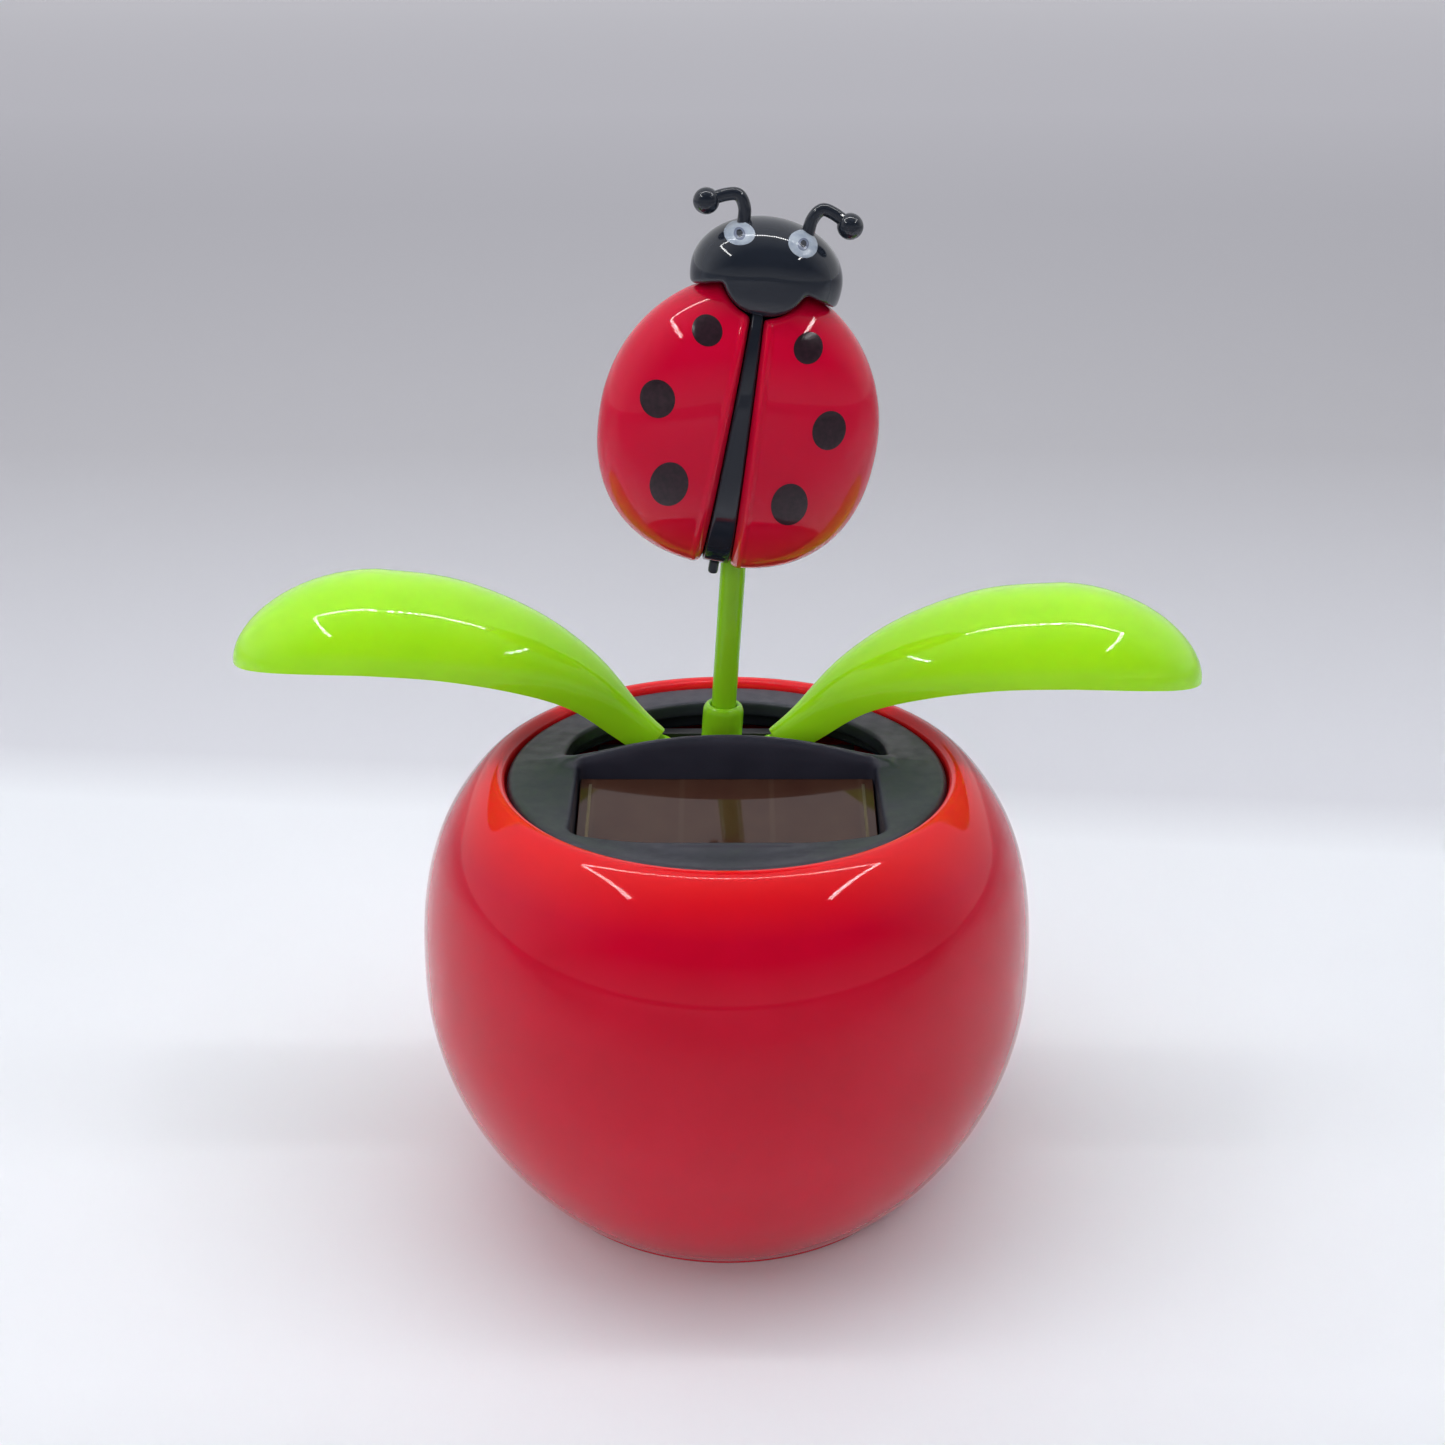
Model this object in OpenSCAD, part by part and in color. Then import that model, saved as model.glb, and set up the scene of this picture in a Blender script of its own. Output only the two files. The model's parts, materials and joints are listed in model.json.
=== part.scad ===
// Solar dancing ladybird in a round pot.
// A magnet pendulum swings over a drive coil; the stem carries the ladybird and
// two slotted cranks make the leaves nod with it.
// Millimetres. Origin at the middle of the base, +Z up, solar cell towards -Y.

/* [Pot] */
// Largest radius of the pot
pot_r = 33; // [27:0.5:40]
// Height of the pot's rim above the floor
pot_h = 48; // [46:0.5:58]
// Height of the pot's widest point
belly_z = 25; // [21:0.5:28]
// Wall of the pot
pot_wall = 1.8; // [1.4:0.1:2.4]
// Radius of the flat foot
foot_r = 21.6; // [20.8:0.1:24]
// Inside radius of the pot's mouth
mouth_r = 23.5; // [22.9:0.1:24.5]

/* [Cover] */
// Radius of the top cover
cover_r = 23.3; // [22.6:0.1:24.2]
// Thickness of the cover's flange
cover_t = 1.8; // [1.2:0.1:2.4]
// Radius of the slot's rear edge
slot_r = 18.6; // [17.8:0.1:19]
// Half width of the slot
slot_half_w = 17.3; // [16:0.1:17.8]
// Place of the slot's front edge
slot_front_y = 2.0; // [1.6:0.1:2.6]
// Thickness of the raised wall between slot and cell
crest_t = 1.2; // [1:0.1:1.6]
// Height of the raised wall above the cover at its middle
crest_h = 3.4; // [2:0.1:5]

/* [Solar cell] */
// Width of the cell
cell_w = 31.2; // [26:0.1:31.6]
// Depth of the cell, front to back
cell_d = 14.6; // [11:0.1:15.2]
// Thickness of the cell
cell_t = 1.4; // [1:0.1:2]
// Angle at which the cell faces forward
cell_tilt = 14.4; // [8:0.1:17]

/* [Movement] */
// Sideways offset of the mechanism in the pot
mech_x = -1.2; // [-2:0.1:0.5]
// Place of the mechanism behind the pot's axis
mech_y = 9; // [8.8:0.1:9.4]
// Depth of the rocker's pivot below the pot's rim
pivot_drop = 11; // [10.6:0.1:11.4]
// Lean of the stem in the stored pose
rest_lean = 3.6; // [-8:0.1:8]
// Distance of each leaf's hinge from the middle
leaf_hinge_x = 6.5; // [6.2:0.1:7]
// Height of the leaf hinges above the rocker's pivot
leaf_hinge_rise = 6; // [5.6:0.1:6.4]
// Depth of the drive pegs below the rocker's pivot
peg_drop = 4; // [3.6:0.1:4.4]
// Radius of the steel hinge pins
pin_r = 1.0; // [0.8:0.05:1.2]
// Radial running clearance on the pins
pin_play = 0.05; // [0.02:0.01:0.1]

/* [Stem and ladybird] */
// Radius of the stem
stem_r = 1.35; // [1.1:0.01:1.65]
// Height of the socket's top above the pivot
socket_top = 14.4; // [13:0.1:17]
// Outer radius of the socket
socket_r = 2.25; // [1.9:0.05:2.6]
// Height of the body's middle above the pivot
bug_rise = 45.7; // [40:0.1:56]
// Tilt of the ladybird against its stem
bug_tilt = 6.3; // [0:0.1:10]
// Half width of the wings
wing_r = 14.1; // [12:0.05:17]
// Wing length above the widest point
wing_up = 15.8; // [14:0.1:18]
// Wing length below the widest point
wing_down = 14.4; // [12:0.1:17]
// Depth of the domed wings
wing_depth = 8; // [6:0.1:9]
// Wall of the wing shell
wing_t = 1.0; // [0.9:0.1:1.6]
// Half width of the head
head_r = 7.6; // [6.5:0.05:9]

/* [Leaves] */
// Reach of a leaf's tip from the middle
leaf_reach = 53.2; // [48:0.1:60]
// Half width of a leaf
leaf_r = 9.5; // [7:0.1:11.5]
// Height of a leaf's arch
leaf_arch = 7.9; // [6:0.1:9.5]
// Wall of a leaf
leaf_t = 1.2; // [0.9:0.1:1.6]

/* [Coil and pendulum] */
// Radius of the coil bobbin
coil_r = 7.4; // [6:0.1:8.5]
// Height of the coil bobbin
coil_h = 6.4; // [5:0.1:6.6]
// Width of the counterweight
weight_w = 14.8; // [11:0.1:15.2]
// Depth of the counterweight, front to back
weight_d = 9.8; // [8:0.1:10]
// Height of the counterweight
weight_h = 9.2; // [7:0.1:9.4]
// Radius of the magnet
magnet_r = 4.8; // [3.5:0.1:4.8]
// Thickness of the magnet
magnet_t = 3; // [2:0.1:3.2]

/* [Hidden] */
$fn = 64;
// fits and clearances
gap = 0.2;
touch = 0.05;
screw_r = 0.95;
screw_hole_r = 1.0;
screw_head_r = 1.9;
screw_head_h = 1.2;
boss_r = 1.8;

// height of the rocker's pivot
pivot_z = pot_h - pivot_drop;

// base
base_t = 2.0;
ledge_t = 1.6;
ledge_r = 17.8;
foot_ring = 1.7;
recess_r = foot_r - foot_ring;
base_screw_pcr = 13;
base_boss_r = 2.4;

// levels of cover and pot mouth
cover_top = pot_h - 0.6;
cover_bottom = cover_top - cover_t;
seat_t = 1.4;
seat_r = mouth_r - 1.5;
skirt_t = 1.2;
skirt_bottom = cover_bottom - 2;
rim_round = 1.3;

// cell pocket
cell_rear_y = slot_front_y - crest_t - gap;
cell_rear_z = cover_top - 1.4;
pad_t = 0.5;
pocket_wall = 1.4;
pocket_half_w = cell_w / 2 + gap;
lead_hole_r = 1.3;
lead_x = 11;
lead_y = -3.5;

// frame
deck_z = 4.6;
deck_t = 1.6;
deck_top = deck_z + deck_t;
deck_r = seat_r - 1.5;
frame_r = seat_r - 0.4;
side_half_w = 14.6;
side_t = 1.6;
rear_y = mech_y + 5.3;
plate_t = 1.5;
front_y = mech_y - 6.1;
bridge_z = coil_h + deck_top + 1.4;
wide_top = skirt_bottom - 0.3;
narrow_top = wide_top + 2;
narrow_half_w = leaf_hinge_x + 1.7;
shelf_top = pivot_z + 1.4;
shelf_t = 2.4;
ear_x = slot_half_w + boss_r + 0.1;
ear_ys = [slot_front_y + 1.5, -6];
plate_low = pivot_z - 7;
plate_screw_z = [plate_low + 2.2, pivot_z + 3.6];

// hinges
hub_r = 2.4;
hub_gap = 0.3;
hub_front = front_y + plate_t + hub_gap;
hub_back = rear_y - hub_gap;
leaf_z = pivot_z + leaf_hinge_rise;
// the pegs turn the leaves by this share of the rocker's angle
leaf_share = peg_drop / (peg_drop + leaf_hinge_rise);
leaf_rest = leaf_share * rest_lean;
peg_r = 0.9;
peg_z = pivot_z - peg_drop;
crank_front = mech_y - 2.7;
crank_t = 1.7;
crank_half_w = 2.1;
peg_slot_half = 1.7;
peg_slot_r = peg_r + gap;
bar_front = crank_front + crank_t + 0.3;
bar_t = 2.2;
saddle_t = 1;
magnet_gap = 1.4;
weight_top = deck_top + coil_h + magnet_gap + magnet_t + weight_h;
saddle_half_w = 6;
weight_pin_r = 1.5;
weight_pin_l = 4;

// coil
bobbin_flange = 0.9;
bobbin_core_r = 3;
bobbin_post_r = 1.5;
winding_inset = 0.7;
winding_r = coil_r - winding_inset;

// leaf neck
neck_angle = 54;
neck_start = 3.7;
neck_half_w = 1.9;
neck_depth = 3.6;
neck_block_h = 2.6;
tenon = 1.5;
tenon_l = 3;
tenon_rise = 1;

// stem and socket
socket_bottom = 8;
stem_bottom = 8.6;
stem_top = bug_rise + 8;
boss_low = bug_rise - 2;

// ladybird, in its own upright frame with the widest point at the origin
bug_back_y = mech_y - stem_r - 0.15;
bug_plate_t = 1.0;
bug_x = -0.5;
head_v = wing_up + 0.1;
head_up = 5.7;
head_down = 5.5;
head_depth = 6;
chin_r = 4.3;
chin_v = wing_up + 1.1;
strip_top = wing_up - 5.3;
strip_half_top = 0.75;
strip_half_low = 1.55;
strip_sink = 0.4;
antenna_r = 0.64;
antenna_ball_r = 1.15;

// electronics
board_z = deck_top + 1.8;
board_t = 1.2;
board_half_w = 9;
board_y = [-15, -4.5];
lead_r = 0.4;

// ---- helpers ----

// A closed loft through rings of points, each ring with the same count, capped at both ends
module loft(rings) {
    n = len(rings[0]);
    last = len(rings) - 1;
    polyhedron(
        points = [for (r = rings) each r],
        faces = concat(
            [[for (j = [n - 1 : -1 : 0]) j]],
            [for (i = [0 : last - 1], j = [0 : n - 1])
                [i * n + j, i * n + (j + 1) % n, (i + 1) * n + (j + 1) % n, (i + 1) * n + j]],
            [[for (j = [0 : n - 1]) last * n + j]]),
        convexity = 6);
}

// A point on a smooth curve through the points p, at t from 0 to len(p) - 1
function spline(p, t) =
    let (n = len(p), i = min(floor(t), n - 2), u = t - i,
        a = p[max(i - 1, 0)], b = p[i], c = p[i + 1], d = p[min(i + 2, n - 1)])
    0.5 * (2 * b + (c - a) * u + (2 * a - 5 * b + 4 * c - d) * u * u
        + (3 * b - a - 3 * c + d) * u * u * u);

// A round tube along the points c with a radius at each, none of it running along side
module tube(c, radii, side, corners = 8) {
    last = len(c) - 1;
    loft([for (k = [0 : last])
        let (t = c[min(k + 1, last)] - c[max(k - 1, 0)], f = t / norm(t),
            s0 = cross(f, side), s = s0 / norm(s0), w = cross(f, s))
        [for (j = [0 : corners - 1])
            let (a = 360 * j / corners) c[k] + radii[k] * (cos(a) * s + sin(a) * w)]]);
}

// A wire along a smooth curve through the points p, none of it running along X
module wire(p, r, steps = 3) {
    count = (len(p) - 1) * steps;
    tube([for (k = [0 : count]) spline(p, k / steps)], [for (k = [0 : count]) r], [1, 0, 0]);
}

// Radius factor of an egg at angle a, round above and fuller below
function egg(a) =
    let (q = sin(a) > 0 ? 2 : 2.2)
    pow(pow(abs(cos(a)), q) + pow(abs(sin(a)), q), -1 / q);

// A point of the egg outline at angle a
function egg_point(a, half_w, up, down) =
    egg(a) * [cos(a) * half_w, sin(a) * (sin(a) > 0 ? up : down)];

// Turns its children from the neutral position to the stored pose about a hinge along Y
module leaned(x, z, angle) {
    translate([x, 0, z]) rotate([0, angle, 0]) translate([-x, 0, -z]) children();
}

module along_y(x, z, y0, y1, r) {
    translate([x, y0, z]) rotate([-90, 0, 0]) cylinder(r = r, h = y1 - y0);
}

module screw_up(x, y, z, length) {
    translate([x, y, z - screw_head_h]) cylinder(r = screw_head_r, h = screw_head_h);
    translate([x, y, z - touch]) cylinder(r = screw_r, h = length + touch);
}

// ---- pot ----

// Outer radius of the pot at height z: two curves that meet smoothly at the belly and
// pass through the foot's and the rim's radius
function pot_curve(r_end, share, stretch, power) =
    let (end = 1 - pow(1 / stretch, power))
    pot_r * pow(1 - pow(share / stretch, power), ln(r_end / pot_r) / ln(end));

function pot_radius(z) = z < belly_z
    ? pot_curve(foot_r, (belly_z - z) / belly_z, 1.34, 1.9)
    : pot_curve(mouth_r + rim_round, (z - belly_z) / (pot_h - belly_z), 1.174, 2.6);

module pot_profile(inset, z0, z1) {
    steps = 28;
    outer = [for (k = [0 : steps]) let (z = z0 + (z1 - z0) * k / steps) [pot_radius(z) - inset, z]];
    polygon(concat([[0, z0]], outer, [[0, z1]]));
}

module pot_shell() {
    rim_z = pot_h - rim_round;
    color("crimson") rotate_extrude($fn = 96) difference() {
        union() {
            pot_profile(0, 0, rim_z);
            translate([mouth_r, rim_z]) intersection() {
                translate([rim_round - 0.2, 0]) circle(r = rim_round, $fn = 32);
                translate([0, -rim_round]) square([3 * rim_round, 2 * rim_round]);
            }
        }
        // hollow between the bottom ledge and the cover's seat
        pot_profile(pot_wall * 1.15, base_t + ledge_t, cover_bottom - seat_t);
        translate([0, -1]) square([recess_r, base_t + 1]);
        square([ledge_r, pot_h]);
        translate([0, cover_bottom - seat_t - 1]) square([seat_r, pot_h]);
        translate([0, cover_bottom]) square([mouth_r, pot_h]);
    }
}

module base_holes(r, z0, z1) {
    for (a = [90 : 120 : 330])
        rotate([0, 0, a]) translate([base_screw_pcr, 0, z0]) cylinder(r = r, h = z1 - z0);
}

module base_plate() {
    color("darkred") difference() {
        cylinder(r = recess_r - gap, h = base_t);
        base_holes(screw_hole_r + 0.1, -1, base_t + 1);
        base_holes(screw_head_r + gap, -1, screw_head_h);
    }
}

module base_screws() {
    color("silver") for (a = [90 : 120 : 330])
        rotate([0, 0, a]) screw_up(base_screw_pcr, 0, screw_head_h, deck_top - screw_head_h - 0.6);
}

// ---- cover and cell ----

// Side view of the cell's bed, a given depth under the cell's top face
function bed_point(along, under) = [
    cell_rear_y - along * cos(cell_tilt) - under * sin(cell_tilt),
    cell_rear_z - along * sin(cell_tilt) - under * cos(cell_tilt)];

module across_x(half_w) {
    rotate([90, 0, 90]) linear_extrude(2 * half_w, center = true) children();
}

module pocket_block() {
    floor_d = cell_t + pad_t + pocket_wall;
    across_x(pocket_half_w + pocket_wall) polygon([
        [slot_front_y, cover_bottom], [slot_front_y, bed_point(0, floor_d)[1]],
        bed_point(cell_d + gap + pocket_wall, floor_d),
        [bed_point(cell_d + gap + pocket_wall, floor_d)[0], cover_bottom]]);
}

module pocket_cut() {
    floor_d = cell_t + pad_t;
    front = bed_point(cell_d + gap, floor_d);
    across_x(pocket_half_w) polygon([
        [cell_rear_y, cover_top + 10], bed_point(0, 0), bed_point(0, floor_d),
        front, [front[0] - 0.6, cover_top + 10]]);
}

module crest() {
    // The raised wall, its top edge an arc across the cover
    half = slot_half_w - 0.3;
    fall = crest_h - 0.4;
    arc_r = (half * half + fall * fall) / (2 * fall);
    intersection() {
        along_y(0, cover_top + crest_h - arc_r, slot_front_y - crest_t, slot_front_y, arc_r, $fn = 128);
        translate([-half, 0, cover_bottom]) cube([2 * half, slot_front_y + 1, 20]);
    }
}

module slot_outline(r, front) {
    intersection() {
        circle(r = r, $fn = 96);
        translate([-slot_half_w, front]) square([2 * slot_half_w, 2 * r]);
    }
}

module ring(r0, r1, z0, z1) {
    translate([0, 0, z0]) difference() {
        cylinder(r = r1, h = z1 - z0, $fn = 96);
        translate([0, 0, -1]) cylinder(r = r0, h = z1 - z0 + 2, $fn = 96);
    }
}

module each_ear() {
    for (side = [-1, 1], y = ear_ys) translate([side * ear_x, y, 0]) children();
}

module top_cover() {
    color("#1c1c1e") difference() {
        union() {
            translate([0, 0, cover_bottom]) cylinder(r = cover_r, h = cover_t, $fn = 96);
            ring(seat_r - gap - skirt_t, seat_r - gap, skirt_bottom, cover_bottom);
            intersection() {
                pocket_block();
                cylinder(r = seat_r - gap, h = cover_top, $fn = 96);
            }
            crest();
            each_ear() translate([0, 0, shelf_top]) cylinder(r = boss_r, h = cover_bottom - shelf_top);
        }
        translate([0, 0, skirt_bottom - 2]) linear_extrude(20) slot_outline(slot_r, slot_front_y);
        pocket_cut();
        each_ear() translate([0, 0, shelf_top - 1])
            cylinder(r = screw_hole_r, h = cover_bottom - shelf_top);
        for (side = [-1, 1]) translate([side * lead_x, lead_y, 0]) cylinder(r = lead_hole_r, h = cover_top);
    }
}

module on_bed(depth0, depth1, inset) {
    across_x(cell_w / 2 - inset) polygon([
        bed_point(inset, depth0), bed_point(cell_d - inset, depth0),
        bed_point(cell_d - inset, depth1), bed_point(inset, depth1)]);
}

module cell_pad() {
    color("dimgray") difference() {
        on_bed(cell_t, cell_t + pad_t, 0.6);
        for (side = [-1, 1]) translate([side * lead_x, lead_y, 0]) cylinder(r = lead_hole_r, h = cover_top);
    }
}

module solar_cell() {
    color("#4a3a34") on_bed(0, cell_t, 0);
}

// ---- frame ----

module side_box(y0, y1, z0, z1, t) {
    for (side = [0, 1]) mirror([side, 0, 0])
        translate([side_half_w - t, y0, z0]) cube([t, y1 - y0, z1 - z0]);
}

module wall_with_pins(y, z0) {
    // Flat bearing wall with its narrower head between the cover's slot walls
    difference() {
        union() {
            translate([-side_half_w, y, z0]) cube([2 * side_half_w, plate_t, wide_top - z0]);
            translate([mech_x - narrow_half_w, y, wide_top - 1])
                cube([2 * narrow_half_w, plate_t, narrow_top - wide_top + 1]);
        }
        along_y(mech_x, pivot_z, y - 1, y + plate_t + 1, pin_r);
        for (side = [-1, 1])
            along_y(mech_x + side * leaf_hinge_x, leaf_z, y - 1, y + plate_t + 1, pin_r);
    }
}

module plate_screw_places() {
    for (side = [-1, 1], z = plate_screw_z)
        translate([side * (side_half_w - 0.6), front_y, z]) rotate([-90, 0, 0]) children();
}

module mechanism_frame() {
    back_y = front_y + plate_t;
    color("#26262a") difference() {
        union() {
            translate([0, 0, deck_z]) cylinder(r = deck_r, h = deck_t, $fn = 96);
            base_holes(base_boss_r, base_t, deck_z + touch);
            side_box(back_y, rear_y + plate_t, deck_top - touch, wide_top, side_t);
            wall_with_pins(rear_y, bridge_z);
            plate_screw_places() translate([0, 0, plate_t]) cylinder(r = boss_r, h = 5);
            // shelves that carry the cover, clear of the front plate's ends
            translate([0, 0, shelf_top - shelf_t]) linear_extrude(shelf_t) intersection() {
                circle(r = frame_r, $fn = 96);
                for (side = [0, 1]) mirror([side, 0, 0]) {
                    translate([side_half_w + gap, ear_ys[1] - boss_r])
                        square([8, mech_y - ear_ys[1] + boss_r]);
                    translate([side_half_w - side_t, back_y + gap]) square([4, mech_y - back_y - gap]);
                }
            }
            // posts for the board and the bobbin
            for (x = [-7, 7], y = [board_y[0] + 2, board_y[1] - 2])
                translate([x, y, deck_top - touch]) cylinder(r = 1.2, h = board_z - deck_top + touch);
            translate([mech_x, mech_y, deck_top - touch]) cylinder(r = bobbin_post_r, h = coil_h - 1);
        }
        base_holes(screw_hole_r, base_t - 1, deck_top - 0.4);
        each_ear() translate([0, 0, shelf_top - shelf_t - 1])
            cylinder(r = screw_hole_r + 0.1, h = shelf_t + 2);
        plate_screw_places() cylinder(r = screw_hole_r, h = plate_t + 4.6);
    }
}

module front_plate() {
    color("#26262a") difference() {
        wall_with_pins(front_y, plate_low);
        plate_screw_places() translate([0, 0, -1]) cylinder(r = screw_hole_r + 0.1, h = plate_t + 2);
    }
}

module front_plate_screws() {
    color("silver") plate_screw_places() screw_up(0, 0, 0, plate_t + 4);
}

module cover_screws() {
    color("silver") each_ear()
        screw_up(0, 0, shelf_top - shelf_t, shelf_t + cover_bottom - shelf_top - 1.6);
}

module hinge_pin(x, z) {
    color("silver") along_y(x, z, front_y + gap, rear_y + plate_t, pin_r);
}

module rocker_pin() { hinge_pin(mech_x, pivot_z); }
module left_leaf_pin() { hinge_pin(mech_x - leaf_hinge_x, leaf_z); }
module right_leaf_pin() { hinge_pin(mech_x + leaf_hinge_x, leaf_z); }

// ---- coil and electronics ----

module coil_bobbin() {
    color("ivory") translate([mech_x, mech_y, deck_top]) difference() {
        union() {
            cylinder(r = coil_r, h = bobbin_flange);
            cylinder(r = bobbin_core_r, h = coil_h);
            translate([0, 0, coil_h - bobbin_flange]) cylinder(r = coil_r, h = bobbin_flange);
        }
        translate([0, 0, -1]) cylinder(r = bobbin_post_r + touch, h = coil_h + 2);
    }
}

module coil_winding() {
    color("peru") translate([mech_x, mech_y, 0])
        ring(bobbin_core_r, winding_r, deck_top + bobbin_flange, deck_top + coil_h - bobbin_flange);
}

module circuit_board() {
    color("darkgreen") translate([-board_half_w, board_y[0], board_z])
        cube([2 * board_half_w, board_y[1] - board_y[0], board_t]);
}

module chip_blob() {
    rise = 1.3;
    foot = 2.8;
    ball_r = (foot * foot + rise * rise) / (2 * rise);
    color("black") translate([3.5, board_y[0] + 5.2, board_z + board_t]) intersection() {
        translate([0, 0, rise - ball_r]) sphere(r = ball_r);
        cylinder(r = foot + 1, h = 2 * rise);
    }
}

module capacitor() {
    color("midnightblue") translate([-4.2, board_y[0] + 5.4, board_z + board_t]) cylinder(r = 3.15, h = 8);
}

function cell_lead_route(side) = [
    [side * lead_x, lead_y, bed_point((cell_rear_y - lead_y) / cos(cell_tilt), cell_t)[1] - 0.3],
    [side * lead_x, lead_y, 38], [side * 10.6, -4.2, 32], [side * 9.6, -6, 25],
    [side * 8.4, -7, 18], [side * 7.6, -7.2, 13], [side * 7.4, -7.2, board_z + board_t]];

module cell_lead_red() { color("red") wire(cell_lead_route(1), lead_r); }
module cell_lead_black() { color("black") wire(cell_lead_route(-1), lead_r); }

module coil_leads() {
    winding_front = mech_y - winding_r;
    color("peru") for (side = [-1, 1])
        wire([[mech_x + side * 1.2, winding_front - 0.35, deck_top + 3.4],
            [mech_x + side * 1.6, winding_front - 2.4, deck_top + 4.2],
            [mech_x + side * 2, board_y[1] + 0.4, deck_top + 4.4],
            [mech_x + side * 2.2, board_y[1] - 1, board_z + board_t + 0.8],
            [mech_x + side * 2.2, board_y[1] - 1, board_z + board_t]], 0.3);
}

// ---- rocker ----

module at_rest_lean() { leaned(mech_x, pivot_z, rest_lean) children(); }

module rocker_arm() {
    bar_half = 1.8;
    saddle_top = weight_top + saddle_t;
    color("#6fb51e") at_rest_lean() difference() {
        union() {
            along_y(mech_x, pivot_z, hub_front, hub_back, hub_r);
            translate([mech_x - bar_half, mech_y - bar_half, pivot_z])
                cube([2 * bar_half, 2 * bar_half, socket_bottom]);
            translate([mech_x, mech_y, pivot_z + socket_bottom - 2])
                cylinder(r = socket_r, h = socket_top - socket_bottom + 2);
            // bar down to the pendulum's saddle
            translate([mech_x - bar_half, bar_front, saddle_top - touch])
                cube([2 * bar_half, bar_t, pivot_z - saddle_top]);
            translate([mech_x - leaf_hinge_x - 1.2, bar_front, peg_z - 1.4])
                cube([2 * leaf_hinge_x + 2.4, bar_t, 2.8]);
            for (side = [-1, 1])
                along_y(mech_x + side * leaf_hinge_x, peg_z, crank_front - 0.3, bar_front + touch, peg_r);
            translate([mech_x - saddle_half_w, mech_y - weight_d / 2, weight_top])
                cube([2 * saddle_half_w, weight_d, saddle_t]);
            translate([mech_x, mech_y, weight_top - weight_pin_l])
                cylinder(r = weight_pin_r, h = weight_pin_l + touch);
        }
        along_y(mech_x, pivot_z, hub_front - 1, hub_back + 1, pin_r + pin_play);
        translate([mech_x, mech_y, pivot_z + stem_bottom]) cylinder(r = stem_r + touch, h = 20);
    }
}

module stem() {
    color("#74c21c") at_rest_lean() translate([mech_x, mech_y, pivot_z + stem_bottom])
        cylinder(r = stem_r, h = stem_top - stem_bottom);
}

module counterweight() {
    color("gray") at_rest_lean() difference() {
        translate([mech_x - weight_w / 2, mech_y - weight_d / 2, weight_top - weight_h])
            cube([weight_w, weight_d, weight_h]);
        translate([mech_x, mech_y, weight_top - weight_pin_l - 2 * gap])
            cylinder(r = weight_pin_r + touch, h = weight_pin_l + 1);
    }
}

module magnet() {
    color("lightgray") at_rest_lean() translate([mech_x, mech_y, weight_top - weight_h - magnet_t])
        cylinder(r = magnet_r, h = magnet_t);
}

// ---- ladybird ----

// Places children drawn with X across, Z up and the widest point of the wings at the origin
module at_bug() {
    at_rest_lean() translate([mech_x + bug_x, 0, pivot_z + bug_rise]) rotate([0, bug_tilt, 0])
        children();
}

// A dome towards -Y over an egg outline; full is the exponent of its side view
module dome(half_w, up, down, depth, back_y, rings = 9, sides = 56, full = 2.3) {
    loft([for (k = [0 : rings])
        let (t = k * 89 / rings, rho = pow(cos(t), 2 / full), d = depth * pow(sin(t), 2 / full))
        [for (j = [0 : sides - 1])
            let (p = rho * egg_point(-360 * j / sides, half_w, up, down))
            [p[0], back_y - d, p[1]]]]);
}

module wing_dome(grow) {
    dome(wing_r + grow, wing_up + grow, wing_down + grow, wing_depth + grow, bug_back_y - bug_plate_t);
}

module wing_outline(grow, sides = 56) {
    polygon([for (j = [0 : sides - 1])
        egg_point(360 * j / sides, wing_r + grow, wing_up + grow, wing_down + grow)]);
}

// Upright prism through the whole bug
module through(y0, y1) {
    translate([0, y1, 0]) rotate([90, 0, 0]) linear_extrude(y1 - y0) children();
}

module strip_shape(inset) {
    half_low = strip_half_low - inset;
    polygon([[-strip_half_top + inset, strip_top - inset], [strip_half_top - inset, strip_top - inset],
        [half_low, -wing_down - 3], [-half_low, -wing_down - 3]]);
}

module ladybug_wings() {
    front = bug_back_y - wing_depth - 5;
    rim = bug_back_y - bug_plate_t;
    color("red") at_bug() difference() {
        wing_dome(0);
        // hollow, opened 1 mm past the rim
        translate([0, 1, 0]) dome(wing_r - wing_t, wing_up - wing_t, wing_down - wing_t,
            wing_depth - wing_t + 1, rim);
        through(front, rim + 1) strip_shape(0);
        through(front, rim + 1) translate([0, chin_v]) circle(r = chin_r + 0.15);
    }
}

// Side view of the rib: it follows the dome a little below its surface
module rib_side() {
    steps = 16;
    rim = bug_back_y - bug_plate_t;
    tops = [for (k = [0 : steps])
        let (v = strip_top - (strip_top + wing_down) * k / steps, rho = v > 0 ? v / wing_up : -v / wing_down)
        [rim + strip_sink - wing_depth * pow(max(1 - pow(rho, 2.3), 0), 1 / 2.3), v]];
    polygon(concat([[rim + 0.5, strip_top]], tops, [[rim + 0.5, -wing_down]]));
}

module ladybug_back() {
    rim = bug_back_y - bug_plate_t;
    color("#111111") difference() {
        union() {
            at_bug() {
                through(rim, bug_back_y) wing_outline(-0.4);
                intersection() {
                    across_x(2 * strip_half_low) rib_side();
                    through(rim - 20, rim + 0.3) strip_shape(0.12);
                }
                translate([-0.55, rim + 0.1, -wing_down - 1]) cube([1.1, bug_plate_t - 0.2, 4]);
            }
            at_rest_lean() translate([mech_x, mech_y, pivot_z + boss_low])
                cylinder(r = stem_r + 1.2, h = stem_top - boss_low + 1);
        }
        at_rest_lean() translate([mech_x, mech_y, pivot_z + boss_low - 20])
            cylinder(r = stem_r + touch, h = stem_top - boss_low + 20);
    }
}

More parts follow.
